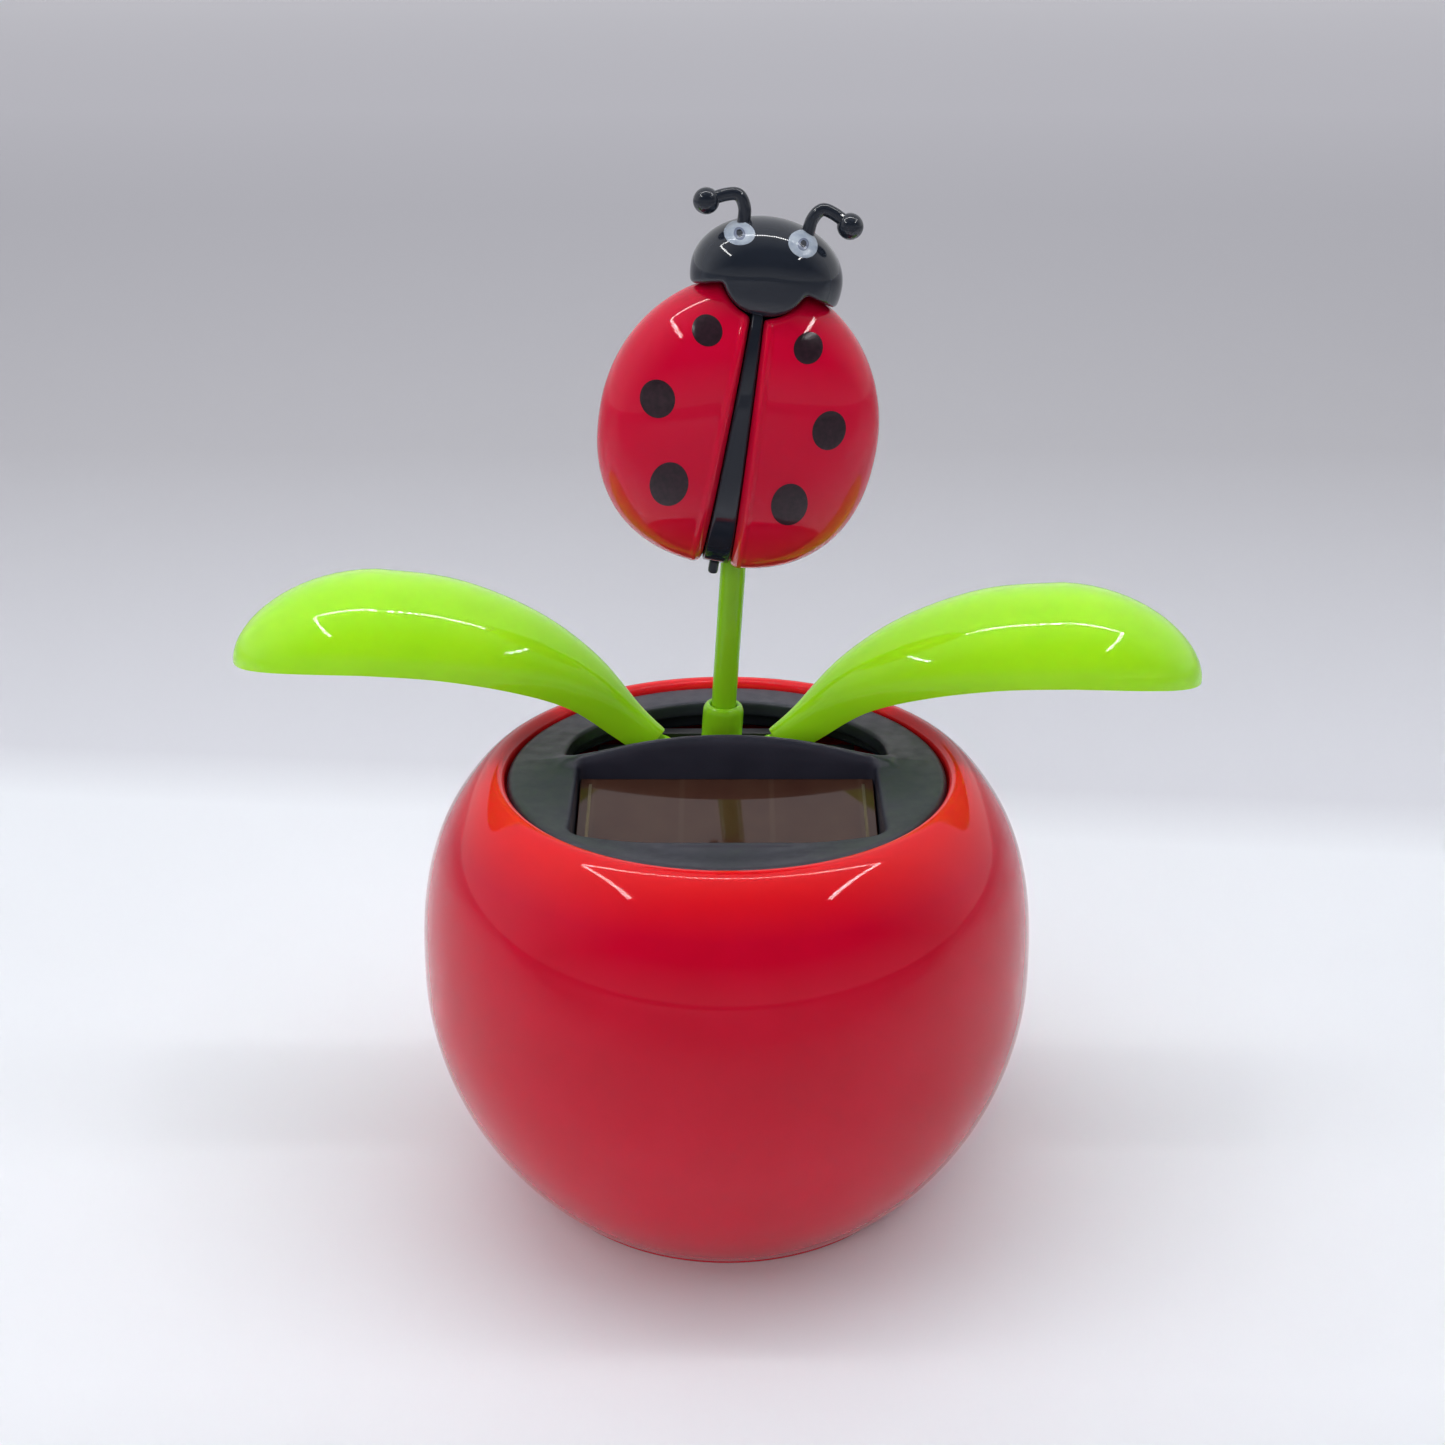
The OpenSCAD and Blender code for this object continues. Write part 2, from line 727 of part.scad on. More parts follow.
// A bent feeler that ends in a ball
module antenna(side) {
    top = head_v + head_up;
    y = bug_back_y - bug_plate_t - 1.6;
    steps = 4;
    knees = [for (k = [[3.2, -1.6], [3.3, 0.4], [4.1, 1.6], [5.4, 1.4], [7.5, 0.6]])
        [side * k[0], y, top + k[1]]];
    count = (len(knees) - 1) * steps;
    stalk = [for (k = [0 : count - 3]) spline(knees, k / steps)];
    end = knees[len(knees) - 1];
    away = end - stalk[len(stalk) - 1];
    f = away / norm(away);
    ball = [for (a = [asin(antenna_r / antenna_ball_r) : 18 : 178]) a];
    tube(concat(stalk, [for (a = ball) end - f * antenna_ball_r * cos(a)]),
        concat([for (k = stalk) antenna_r], [for (a = ball) antenna_ball_r * sin(a)]),
        [0, 1, 0], corners = 12);
}

module ladybug_head() {
    rim = bug_back_y - bug_plate_t;
    color("#111111") at_bug() {
        difference() {
            translate([0, 0, head_v]) dome(head_r, head_up, head_down, head_depth, rim, sides = 48);
            // the head's sides stop at the wings' top edge
            through(rim - 20, rim + 1) difference() {
                wing_outline(gap);
                translate([0, chin_v]) circle(r = chin_r);
            }
        }
    }
}

module ladybug_antennae() {
    color("#111111") at_bug() for (side = [-1, 1]) antenna(side);
}

// ---- leaves, drawn on the right side and neutral ----

// One station of a leaf: place of the open edge, tilt of its section, half width and depth
neck_stations = [
    [leaf_hinge_x + neck_start * cos(neck_angle), leaf_z + neck_start * sin(neck_angle), neck_angle,
        neck_half_w, neck_depth],
    [11.4, leaf_z + 5.3, 50, 2.6, 3.9],
    [16, leaf_z + 9.4, 36, leaf_r * 0.52, leaf_arch * 0.62],
    [22, leaf_z + 12.2, 20, leaf_r * 0.78, leaf_arch * 0.8],
    [29.5, leaf_z + 14, 7, leaf_r * 0.96, leaf_arch * 0.95],
    [37, leaf_z + 14.5, 0, leaf_r, leaf_arch]];
tip_from = 37;
tip_drop = 2;

function leaf_station(t) =
    let (last = len(neck_stations) - 1)
    t <= last ? spline(neck_stations, t)
    : let (a = 90 * (t - last) / 2)
        [tip_from + (leaf_reach - tip_from) * sin(a), leaf_z + 14.5 - tip_drop * sin(a) * sin(a), 0,
            leaf_r * cos(a), leaf_arch * cos(a)];

// A D-shaped section; thin takes the wall off and low drops its flat side below the edge
function leaf_ring(s, thin, low) =
    let (w = max(s[3] - thin, 0.1), h = max(s[4] - thin, 0.1), up = [-sin(s[2]), 0, cos(s[2])],
        foot = [s[0], mech_y, s[1]])
    concat([for (a = [-90 : 15 : 90]) foot + [0, w * sin(a), 0] + h * cos(a) * up],
        [foot + [0, w, 0] - low * up, foot + [0, -w, 0] - low * up]);

module leaf_blade() {
    step = 1 / 3;
    end = len(neck_stations) + 1;
    difference() {
        loft([for (t = [0 : step : end - 0.06]) leaf_ring(leaf_station(t), 0, 0.01)]);
        loft([for (t = [1 : step : end - 0.2]) leaf_ring(leaf_station(t), leaf_t, 1)]);
        translate([leaf_hinge_x, mech_y, leaf_z]) rotate([0, -neck_angle, 0])
            translate([neck_start - 1, -tenon / 2 - touch, tenon_rise - touch])
                cube([tenon_l + 1 + gap, tenon + 2 * touch, tenon + 2 * touch]);
    }
}

// The lever under a leaf: a hub on its pin, an arm with a slot for the drive peg, and
// a block with a tenon that plugs into the leaf's neck
module crank() {
    hub = [leaf_hinge_x, mech_y, leaf_z];
    crank_low = peg_z - peg_slot_half - peg_slot_r - 0.9;
    difference() {
        union() {
            along_y(leaf_hinge_x, leaf_z, hub_front, hub_back, hub_r);
            translate([leaf_hinge_x - crank_half_w, crank_front, crank_low])
                cube([2 * crank_half_w, crank_t, leaf_z - crank_low]);
            translate(hub) rotate([0, -neck_angle, 0]) {
                translate([0, -neck_half_w, 0])
                    cube([neck_start - touch, 2 * neck_half_w, neck_block_h]);
                translate([0, -tenon / 2, tenon_rise]) cube([neck_start + tenon_l, tenon, tenon]);
            }
        }
        along_y(leaf_hinge_x, leaf_z, hub_front - 1, hub_back + 1, pin_r + pin_play);
        translate([leaf_hinge_x, crank_front - 1, peg_z]) rotate([-90, 0, 0]) {
            for (s = [-1, 1]) translate([0, s * peg_slot_half, 0]) cylinder(r = peg_slot_r, h = crank_t + 2);
            translate([-peg_slot_r, -peg_slot_half, 0])
                cube([2 * peg_slot_r, 2 * peg_slot_half, crank_t + 2]);
        }
    }
}

module on_side(side) {
    leaned(mech_x + side * leaf_hinge_x, leaf_z, leaf_rest) translate([mech_x, 0, 0])
        mirror([side < 0 ? 1 : 0, 0, 0]) children();
}

module left_crank() { color("#6fb51e") on_side(-1) crank(); }
module left_leaf() { color("#a4e02a") on_side(-1) leaf_blade(); }
module right_crank() { color("#6fb51e") on_side(1) crank(); }
module right_leaf() { color("#a4e02a") on_side(1) leaf_blade(); }

pot_shell();
base_plate();
base_screws();
top_cover();
cell_pad();
solar_cell();
mechanism_frame();
front_plate();
front_plate_screws();
cover_screws();
rocker_pin();
left_leaf_pin();
right_leaf_pin();
coil_bobbin();
coil_winding();
circuit_board();
chip_blob();
capacitor();
cell_lead_red();
cell_lead_black();
coil_leads();
rocker_arm();
stem();
counterweight();
magnet();
ladybug_wings();
ladybug_back();
ladybug_head();
ladybug_antennae();
left_crank();
left_leaf();
right_crank();
right_leaf();
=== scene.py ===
"""Solar dancing ladybird in a round pot: the looks of every piece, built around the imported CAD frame.

Lengths in this file are millimetres in the frame's own axes (+Z up, solar cell towards -Y) and become
metres where a mesh, a texture or a lamp is made. Places come from the frame's boxes and joints.
"""

import json
import math

import bmesh
import bpy
import numpy as np
from mathutils import Matrix, Vector


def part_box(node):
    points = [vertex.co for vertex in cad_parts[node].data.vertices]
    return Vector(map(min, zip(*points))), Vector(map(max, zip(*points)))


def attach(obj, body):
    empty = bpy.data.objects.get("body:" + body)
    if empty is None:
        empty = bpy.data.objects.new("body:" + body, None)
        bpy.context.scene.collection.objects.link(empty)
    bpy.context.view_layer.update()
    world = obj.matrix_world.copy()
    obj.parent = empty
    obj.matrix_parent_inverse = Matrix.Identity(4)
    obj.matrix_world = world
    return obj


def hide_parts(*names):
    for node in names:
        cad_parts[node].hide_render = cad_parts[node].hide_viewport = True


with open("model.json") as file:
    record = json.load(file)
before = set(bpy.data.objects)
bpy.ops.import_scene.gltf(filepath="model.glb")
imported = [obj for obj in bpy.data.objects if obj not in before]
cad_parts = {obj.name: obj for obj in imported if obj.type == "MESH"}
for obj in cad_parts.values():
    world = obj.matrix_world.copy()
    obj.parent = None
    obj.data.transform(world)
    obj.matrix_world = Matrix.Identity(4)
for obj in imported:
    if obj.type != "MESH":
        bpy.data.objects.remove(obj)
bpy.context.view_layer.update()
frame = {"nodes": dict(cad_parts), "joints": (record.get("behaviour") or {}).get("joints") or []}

MM = 0.001
GAP = 0.2  # fit between parts that are put together


def box_mm(node):
    """Lowest and highest corner of a CAD node, in millimetres."""
    low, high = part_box(node)
    return Vector(low) / MM, Vector(high) / MM


def joint_mm(name):
    joint = next(j for j in frame["joints"] if j["name"] == name)
    return Vector(joint["pos_m"]) / MM


# ---- driving dimensions, from the frame ----

POT_R = box_mm("pot_shell")[1].x
POT_H = box_mm("pot_shell")[1].z
PIVOT = joint_mm("stem_sway")
LEFT_HINGE = joint_mm("left_leaf_nod")
RIGHT_HINGE = joint_mm("right_leaf_nod")
HINGE_OUT = (RIGHT_HINGE.x - LEFT_HINGE.x) / 2
LEAF_SHARE = 0.4  # the leaves turn by this share of the stem's angle
_low, _high = box_mm("stem")
_stem_middle = (_low + _high) / 2
REST_LEAN = math.degrees(math.atan2(_stem_middle.x - PIVOT.x, _stem_middle.z - PIVOT.z))

# pot
BELLY_Z = 25.0
FOOT_R = 21.6
MOUTH_R = 23.5
POT_WALL = 1.8
RIM_ROUND = 1.3
BASE_T = 2.0
LEDGE_T = 1.6  # ring over the base plate
LEDGE_R = 17.8
RECESS_R = FOOT_R - 1.7  # round the base plate
SEAT_R = MOUTH_R - 1.5  # step that the cover lies on
SEAT_T = 1.4

# cover
COVER_TOP = POT_H - 0.6
COVER_T = 1.8
COVER_BOTTOM = COVER_TOP - COVER_T
COVER_R = 23.3
SLOT_R = 18.6  # rear arc
SLOT_HALF = 17.3
SLOT_FRONT = 2.0
CREST_T = 1.2  # raised wall between slot and cell
CREST_H = 3.4
CREST_FALL = 3.0  # from its middle to its ends
POCKET_HALF = 15.8
POCKET_REAR = SLOT_FRONT - CREST_T
POCKET_FRONT = -15.0

# solar cell
CELL_W = 31.2
CELL_D = 14.6
CELL_T = 1.4
CELL_TILT = 14.4
CELL_REAR_Y = SLOT_FRONT - CREST_T - GAP
CELL_REAR_Z = COVER_TOP - 1.4
PAD_T = 0.5

# stem and ladybird
STEM_R = 1.35
SOCKET_R = 2.25
SOCKET_TOP = 14.4
SOCKET_BOTTOM = 8.0
STEM_BOTTOM = 8.6
BUG_RISE = 45.7
BUG_TILT = 6.3
BUG_X = -0.5
WING_R = 14.3
WING_UP = 15.8
WING_DOWN = 14.4
WING_DEPTH = 8.0
WING_T = 1.0
BACK_Y = PIVOT.y - STEM_R - 0.15
PLATE_T = 1.0
RIM_Y = BACK_Y - PLATE_T
DOME_POWER = 2.3
HEAD_V = WING_UP + 0.1
HEAD_R = 7.6
HEAD_UP = 5.7
HEAD_DOWN = 5.5
HEAD_DEPTH = 6.0
CHIN_V = WING_UP + 1.1
CHIN_R = 4.3
STRIP_TOP = WING_UP - 3.2
STRIP_SHIFT = -0.35  # across, at the head end

# leaves
LEAF_REACH = 52.6
LEAF_R = 9.5
LEAF_ARCH = 7.9
LEAF_T = 1.2
NECK_ANGLE = 54

# movement
PEG_DROP = 4.0
DECK_TOP = 6.2
COIL_R = 7.4
COIL_H = 6.4
WEIGHT_D = 9.8
WEIGHT_TOP = 26.2
BOARD_TOP = 9.2
BOARD_Y = -15.0
FRONT_Y = 2.9
REAR_Y = 14.3
PLATE = 1.5
EAR_X = 19.2
EAR_YS = (3.5, -6.0)
SHELF_TOP = 38.4
SCREW_R = 0.95
SCREW_HEAD_R = 1.9
SCREW_HEAD_H = 1.2


# ---- mesh helpers ----


def add_object(name, data):
    obj = bpy.data.objects.new(name, data)
    bpy.context.scene.collection.objects.link(obj)
    return obj


def make_mesh(name, verts, faces, material, sharp=40.0, normals=True):
    """A smooth-shaded object from points in millimetres."""
    mesh = bpy.data.meshes.new(name)
    mesh.from_pydata([tuple(c * MM for c in v) for v in verts], [], [tuple(f) for f in faces])
    obj = add_object(name, mesh)
    finish_mesh(obj, material, sharp, normals)
    return obj


def finish_mesh(obj, material, sharp=40.0, normals=True):
    """Turns the faces outwards and shades them smooth; edges sharper than sharp degrees stay crisp."""
    bm = bmesh.new()
    bm.from_mesh(obj.data)
    if normals:
        bmesh.ops.recalc_face_normals(bm, faces=bm.faces)
    for face in bm.faces:
        face.smooth = True
    for edge in bm.edges:
        if len(edge.link_faces) == 2:
            edge.smooth = edge.calc_face_angle(0.0) < math.radians(sharp)
    bm.to_mesh(obj.data)
    bm.free()
    if material is not None:
        obj.data.materials.clear()
        obj.data.materials.append(material)


def place(obj, body, slot, *nodes):
    """The piece rides on a body and stands for the CAD nodes, which it hides; slot is not used."""
    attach(obj, body)
    if nodes:
        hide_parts(*nodes)
    return obj


def piece(name, mesh, body, slot, *nodes, material=None, sharp=40.0):
    """A placed piece from (points, faces), in its slot's material unless another is named."""
    return place(make_mesh(name, *mesh, MATERIALS[material or slot], sharp), body, slot, *nodes)


def grid_faces(rows, columns, closed=False):
    """Quads between rings of points; closed joins the last ring to the first."""
    faces = []
    for i in range(rows if closed else rows - 1):
        for j in range(columns):
            k, m = (i + 1) % rows, (j + 1) % columns
            faces.append((i * columns + j, i * columns + m, k * columns + m, k * columns + j))
    return faces


def loft(rings):
    """Points and faces through rings with equal counts, closed at both ends."""
    count = len(rings[0])
    verts = [p for ring in rings for p in ring]
    faces = grid_faces(len(rings), count)
    faces.append(tuple(range(count - 1, -1, -1)))
    faces.append(tuple((len(rings) - 1) * count + j for j in range(count)))
    return verts, faces


def lathe(profile, steps, centre=(0.0, 0.0), closed=True):
    """Turns a profile of (radius, height) about Z. A closed profile gives a ring, an open one is
    taken to start and end on the axis."""
    turns = [2 * math.pi * k / steps for k in range(steps)]

    def point(r, z, a):
        return centre[0] + r * math.cos(a), centre[1] + r * math.sin(a), z

    if closed:
        verts = [point(r, z, a) for a in turns for r, z in profile]
        return verts, grid_faces(steps, len(profile), closed=True)
    inner = profile[1:-1]
    verts = [point(r, z, a) for r, z in inner for a in turns]
    faces = grid_faces(len(inner), steps)
    first, last = len(verts), len(verts) + 1
    verts += [(*centre, profile[0][1]), (*centre, profile[-1][1])]
    base = (len(inner) - 1) * steps
    for j in range(steps):
        faces += [(first, (j + 1) % steps, j), (last, base + j, base + (j + 1) % steps)]
    return verts, faces


def arc(cx, cy, r, start, end, steps):
    """Points of an arc in a profile's plane, angles in degrees."""
    turns = [math.radians(start + (end - start) * k / steps) for k in range(steps + 1)]
    return [(cx + r * math.cos(a), cy + r * math.sin(a)) for a in turns]


def catmull(points, t):
    """A point on the smooth curve through the points, t from 0 to their count less one."""
    n = len(points)
    i = min(int(math.floor(t)), n - 2)
    u = t - i
    a, b = np.array(points[max(i - 1, 0)], float), np.array(points[i], float)
    c, d = np.array(points[i + 1], float), np.array(points[min(i + 2, n - 1)], float)
    return 0.5 * (2 * b + (c - a) * u + (2 * a - 5 * b + 4 * c - d) * u * u
                  + (3 * b - a - 3 * c + d) * u ** 3)


def tube(path, radii, sides, across):
    """A round tube along the path, closed at both ends; none of it runs along the vector across."""
    path = [np.array(p, float) for p in path]
    last = len(path) - 1
    turns = [2 * math.pi * j / sides for j in range(sides)]
    rings = []
    for k, centre in enumerate(path):
        forward = path[min(k + 1, last)] - path[max(k - 1, 0)]
        forward /= np.linalg.norm(forward)
        s = np.cross(forward, across)
        s /= np.linalg.norm(s)
        w = np.cross(forward, s)
        rings.append([centre + radii[k] * (math.cos(a) * s + math.sin(a) * w) for a in turns])
    return loft(rings)


def moved(mesh, matrix):
    """Moves (points, faces) by a matrix."""
    verts, faces = mesh
    return [tuple(matrix @ Vector(v)) for v in verts], faces


def join_parts(parts):
    """Puts several (points, faces) into one."""
    verts, faces = [], []
    for v, f in parts:
        shift = len(verts)
        verts += v
        faces += [tuple(i + shift for i in face) for face in f]
    return verts, faces


def turned(point, angle):
    """Turns about a line along Y through the point, in degrees."""
    return (Matrix.Translation(point) @ Matrix.Rotation(math.radians(angle), 4, "Y")
            @ Matrix.Translation(-Vector(point)))


AT_LEAN = turned(PIVOT, REST_LEAN)
AT_PIVOT = AT_LEAN @ Matrix.Translation(PIVOT)
AT_BUG = (AT_LEAN @ Matrix.Translation((PIVOT.x + BUG_X, 0, PIVOT.z + BUG_RISE))
          @ Matrix.Rotation(math.radians(BUG_TILT), 4, "Y"))


# ---- materials ----


class Tree:
    """A node tree under construction."""

    def __init__(self, tree):
        self.tree = tree

    def add(self, kind, **values):
        node = self.tree.nodes.new(kind)
        for key, value in values.items():
            setattr(node, key, value)
        return node

    def link(self, source, target):
        self.tree.links.new(source, target)

    def calc(self, operation, *values):
        """A Math node; each value is a number or a socket."""
        node = self.add("ShaderNodeMath", operation=operation)
        for target, value in zip(node.inputs, values):
            if isinstance(value, (int, float)):
                target.default_value = value
            else:
                self.link(value, target)
        return node.outputs[0]

    def parts(self, vector):
        """The three coordinates of a vector."""
        node = self.add("ShaderNodeSeparateXYZ")
        self.link(vector, node.inputs[0])
        return node.outputs

    def ramp(self, source, low, high, start=0.3, end=0.7):
        """Maps a value between start and end to low..high."""
        node = self.add("ShaderNodeMapRange")
        for key, value in (("From Min", start), ("From Max", end), ("To Min", low), ("To Max", high)):
            node.inputs[key].default_value = value
        self.link(source, node.inputs["Value"])
        return node.outputs["Result"]


class Nodes(Tree):
    """A material under construction: a Principled shader and the nodes that feed it."""

    def __init__(self, name, color, rough, **constants):
        self.name = name
        self.material = bpy.data.materials.new(name)
        self.material.use_nodes = True
        super().__init__(self.material.node_tree)
        self.shader = self.tree.nodes["Principled BSDF"]
        self.color = color
        self.shader.inputs["Base Color"].default_value = (*color, 1)
        self.shader.inputs["Roughness"].default_value = rough
        for key, value in constants.items():
            self.shader.inputs[key.replace("_", " ").title().replace("Ior", "IOR")].default_value = value
        self.place = self.add("ShaderNodeTexCoord").outputs["Object"]

    def texture(self, kind, size_mm, stretch=None, **values):
        """A texture node whose cells are about size_mm across."""
        node = self.add(kind, **values)
        node.inputs["Scale"].default_value = 1 / (size_mm * MM)
        source = self.place
        if stretch is not None:
            mapping = self.add("ShaderNodeMapping")
            mapping.inputs["Scale"].default_value = stretch
            self.link(self.place, mapping.inputs["Vector"])
            source = mapping.outputs["Vector"]
        self.link(source, node.inputs["Vector"])
        return node

    def noise(self, size_mm, detail=3.0, rough=0.5, stretch=None):
        node = self.texture("ShaderNodeTexNoise", size_mm, stretch)
        node.inputs["Detail"].default_value = detail
        node.inputs["Roughness"].default_value = rough
        return node.outputs["Fac"]

    def mix(self, factor, a, b):
        """Mixes two colours; each is a tuple or a socket."""
        node = self.add("ShaderNodeMix", data_type="RGBA")
        self.link(factor, node.inputs["Factor"])
        for name, value in (("A", a), ("B", b)):
            target = next(s for s in node.inputs if s.name == name and s.type == "RGBA")
            if isinstance(value, tuple):
                target.default_value = (*value, 1)
            else:
                self.link(value, target)
        return next(s for s in node.outputs if s.type == "RGBA")

    def set_color(self, socket):
        self.link(socket, self.shader.inputs["Base Color"])

    def vary(self, other, size_mm, amount=1.0, **noise):
        """Blotches of another colour."""
        factor = self.ramp(self.noise(size_mm, **noise), 0.0, amount)
        self.set_color(self.mix(factor, self.color, other))

    def tint(self, factor, other):
        """Another colour over what the surface has so far."""
        base = self.shader.inputs["Base Color"].links[0].from_socket
        self.set_color(self.mix(factor, base, other))

    def rough(self, low, high, size_mm, **noise):
        self.link(self.ramp(self.noise(size_mm, **noise), low, high), self.shader.inputs["Roughness"])

    def bump(self, *layers):
        """Each layer is (source, height in mm)."""
        normal = None
        for source, height in layers:
            node = self.add("ShaderNodeBump")
            node.inputs["Strength"].default_value = 1.0
            node.inputs["Distance"].default_value = height * MM
            self.link(source, node.inputs["Height"])
            if normal is not None:
                self.link(normal, node.inputs["Normal"])
            normal = node.outputs["Normal"]
        self.link(normal, self.shader.inputs["Normal"])

    def axis(self, index):
        """One coordinate of the surface, in millimetres."""
        return self.calc("MULTIPLY", self.parts(self.place)[index], 1 / MM)

    def grow(self, weight, scale, radius):
        """Light that seeps into the plastic, scale millimetres deep."""
        self.shader.inputs["Subsurface Weight"].default_value = weight
        self.shader.inputs["Subsurface Scale"].default_value = scale * MM
        self.shader.inputs["Subsurface Radius"].default_value = radius


def glossy_plastic(name, color, other, rough=0.035, ior=1.45):
    """Injection-moulded, polished: faint flow marks in the colour and a slight orange peel."""
    m = Nodes(name, color, rough, ior=ior)
    m.vary(other, 9.0, 0.7, detail=2.0)
    m.rough(rough * 0.75, rough * 1.35, 3.5)
    m.bump((m.noise(4.5, detail=1.0), 0.004), (m.noise(0.35, detail=2.0), 0.0006))
    return m


def pot_red():
    """Deep glossy red."""
    m = glossy_plastic("pot_red", (0.56, 0.002, 0.024), (0.50, 0.0015, 0.019), ior=1.36)
    # painted glow: the colour turns a warmer red towards the lip, standing in for light let through the thin
    # wall there
    m.tint(m.ramp(m.axis(2), 0.0, 1.0, POT_H - 5, POT_H - 1), (0.70, 0.009, 0.014))
    m.grow(0.15, 1.0, (1.0, 0.08, 0.05))
    return m


def wing_red():
    """Thin translucent red, with a painted orange glow near its lower edge for light let through the shell.
    """
    m = glossy_plastic("wing_red", (0.60, 0.0025, 0.034), (0.54, 0.002, 0.028), ior=1.36)
    low = PIVOT.z + BUG_RISE - WING_DOWN
    glow = m.ramp(m.axis(2), 0.6, 0.0, low - 1, low + 11)
    edge = m.ramp(m.axis(1), 0.0, 1.0, RIM_Y - 7.6, RIM_Y - 3.5)
    # painted glow: orange mixed into the colour low on the shell, near its rim
    m.tint(m.calc("MULTIPLY", glow, edge), (0.78, 0.075, 0.016))
    m.grow(0.2, 0.8, (1.0, 0.15, 0.05))
    return m


def leaf_green():
    """Bright lime that light passes through."""
    m = glossy_plastic("leaf_green", (0.40, 0.82, 0.014), (0.34, 0.75, 0.011))
    # painted shade: a darker green towards the neck, where the wall is thick and lets less light through
    m.tint(m.ramp(m.axis(2), 0.75, 0.0, LEFT_HINGE.z + 1, LEFT_HINGE.z + 13), (0.29, 0.62, 0.009))
    m.grow(0.4, 1.6, (0.6, 1.0, 0.08))
    return m


def stem_green():
    m = glossy_plastic("stem_green", (0.26, 0.56, 0.010), (0.21, 0.50, 0.008), rough=0.2)
    m.grow(0.3, 1.0, (0.6, 1.0, 0.08))
    return m


def bug_black():
    # painted reflection: the blue in this black stands in for the bluish sheen on the glossy shell
    return glossy_plastic("bug_black", (0.014, 0.018, 0.027), (0.018, 0.022, 0.032), ior=1.5)


def cover_black():
    """Spark-eroded satin black: a fine grain over patches of uneven gloss."""
    # painted reflection: the blue in this black and in its patches stands in for the satin sheen
    m = Nodes("cover_black", (0.018, 0.019, 0.031), 0.42, ior=1.5)
    m.vary((0.028, 0.029, 0.045), 6.0, 0.8)
    m.rough(0.34, 0.5, 1.6)
    m.bump((m.noise(0.22, detail=4.0, rough=0.65), 0.012), (m.noise(0.07, detail=2.0), 0.006))
    return m


def cell_glass():
    """Brown thin-film glass: cloudy, with hairline scribes that split it into stripes."""
    stripe = 4.8
    m = Nodes("cell_glass", (0.050, 0.019, 0.012), 0.05, ior=1.5)
    wave = m.texture("ShaderNodeTexWave", stripe * 6.283, wave_type="BANDS", bands_direction="X",
                     wave_profile="SIN")
    line = m.ramp(wave.outputs["Fac"], 0.0, 1.0, 0.985, 1.0)
    cloud = m.ramp(m.noise(5.0, detail=2.0), 0.0, 1.0)
    base = m.mix(cloud, (0.046, 0.018, 0.012), (0.056, 0.025, 0.016))
    m.set_color(m.mix(line, base, (0.062, 0.03, 0.02)))
    m.bump((m.noise(7.0, detail=1.0), 0.002))
    return m


def metal(name, color, rough, streak=(1, 1, 1), size=0.4):
    """Bare metal, its grain squeezed by streak along each axis."""
    m = Nodes(name, color, rough, metallic=1.0)
    m.vary(tuple(c * 0.8 for c in color), size * 3, 0.8, stretch=streak)
    m.rough(rough * 0.8, rough * 1.4, size, stretch=streak)
    m.bump((m.noise(size, detail=3.0, stretch=streak), 0.003))
    return m


def moulded(name, color, other, rough=0.38):
    """Plain moulded plastic with ejector haze and fine texture."""
    m = Nodes(name, color, rough, ior=1.48)
    m.vary(other, 5.0, 0.8)
    m.rough(rough * 0.85, rough * 1.2, 1.8)
    m.bump((m.noise(0.3, detail=3.0), 0.005))
    return m


def foam():
    """Open-cell foam: dark, matt and pitted."""
    m = Nodes("foam", (0.06, 0.06, 0.062), 0.95)
    m.vary((0.03, 0.03, 0.032), 0.4, 0.9)
    m.bump((m.texture("ShaderNodeTexVoronoi", 0.25).outputs["Distance"], 0.06))
    return m


def board_green():
    """Green lacquer over woven glass fibre."""
    green = (0.012, 0.12, 0.045)
    m = Nodes("board_green", green, 0.3, ior=1.5, coat_weight=0.4)
    weave = m.texture("ShaderNodeTexChecker", 0.6)
    m.set_color(m.mix(m.ramp(weave.outputs["Fac"], 0.0, 0.35, 0.0, 1.0), green, (0.02, 0.17, 0.06)))
    m.bump((m.noise(0.5), 0.01))
    return m


def ink(name, color, other, rough=0.2, ior=1.5, blotch=0.6, amount=0.9, detail=3.0, grain=0.2):
    """Pad-printed ink: uneven cover and a fine grain."""
    m = Nodes(name, color, rough, ior=ior)
    m.vary(other, blotch, amount, detail=detail)
    m.bump((m.noise(grain, detail=3.0), 0.004))
    return m


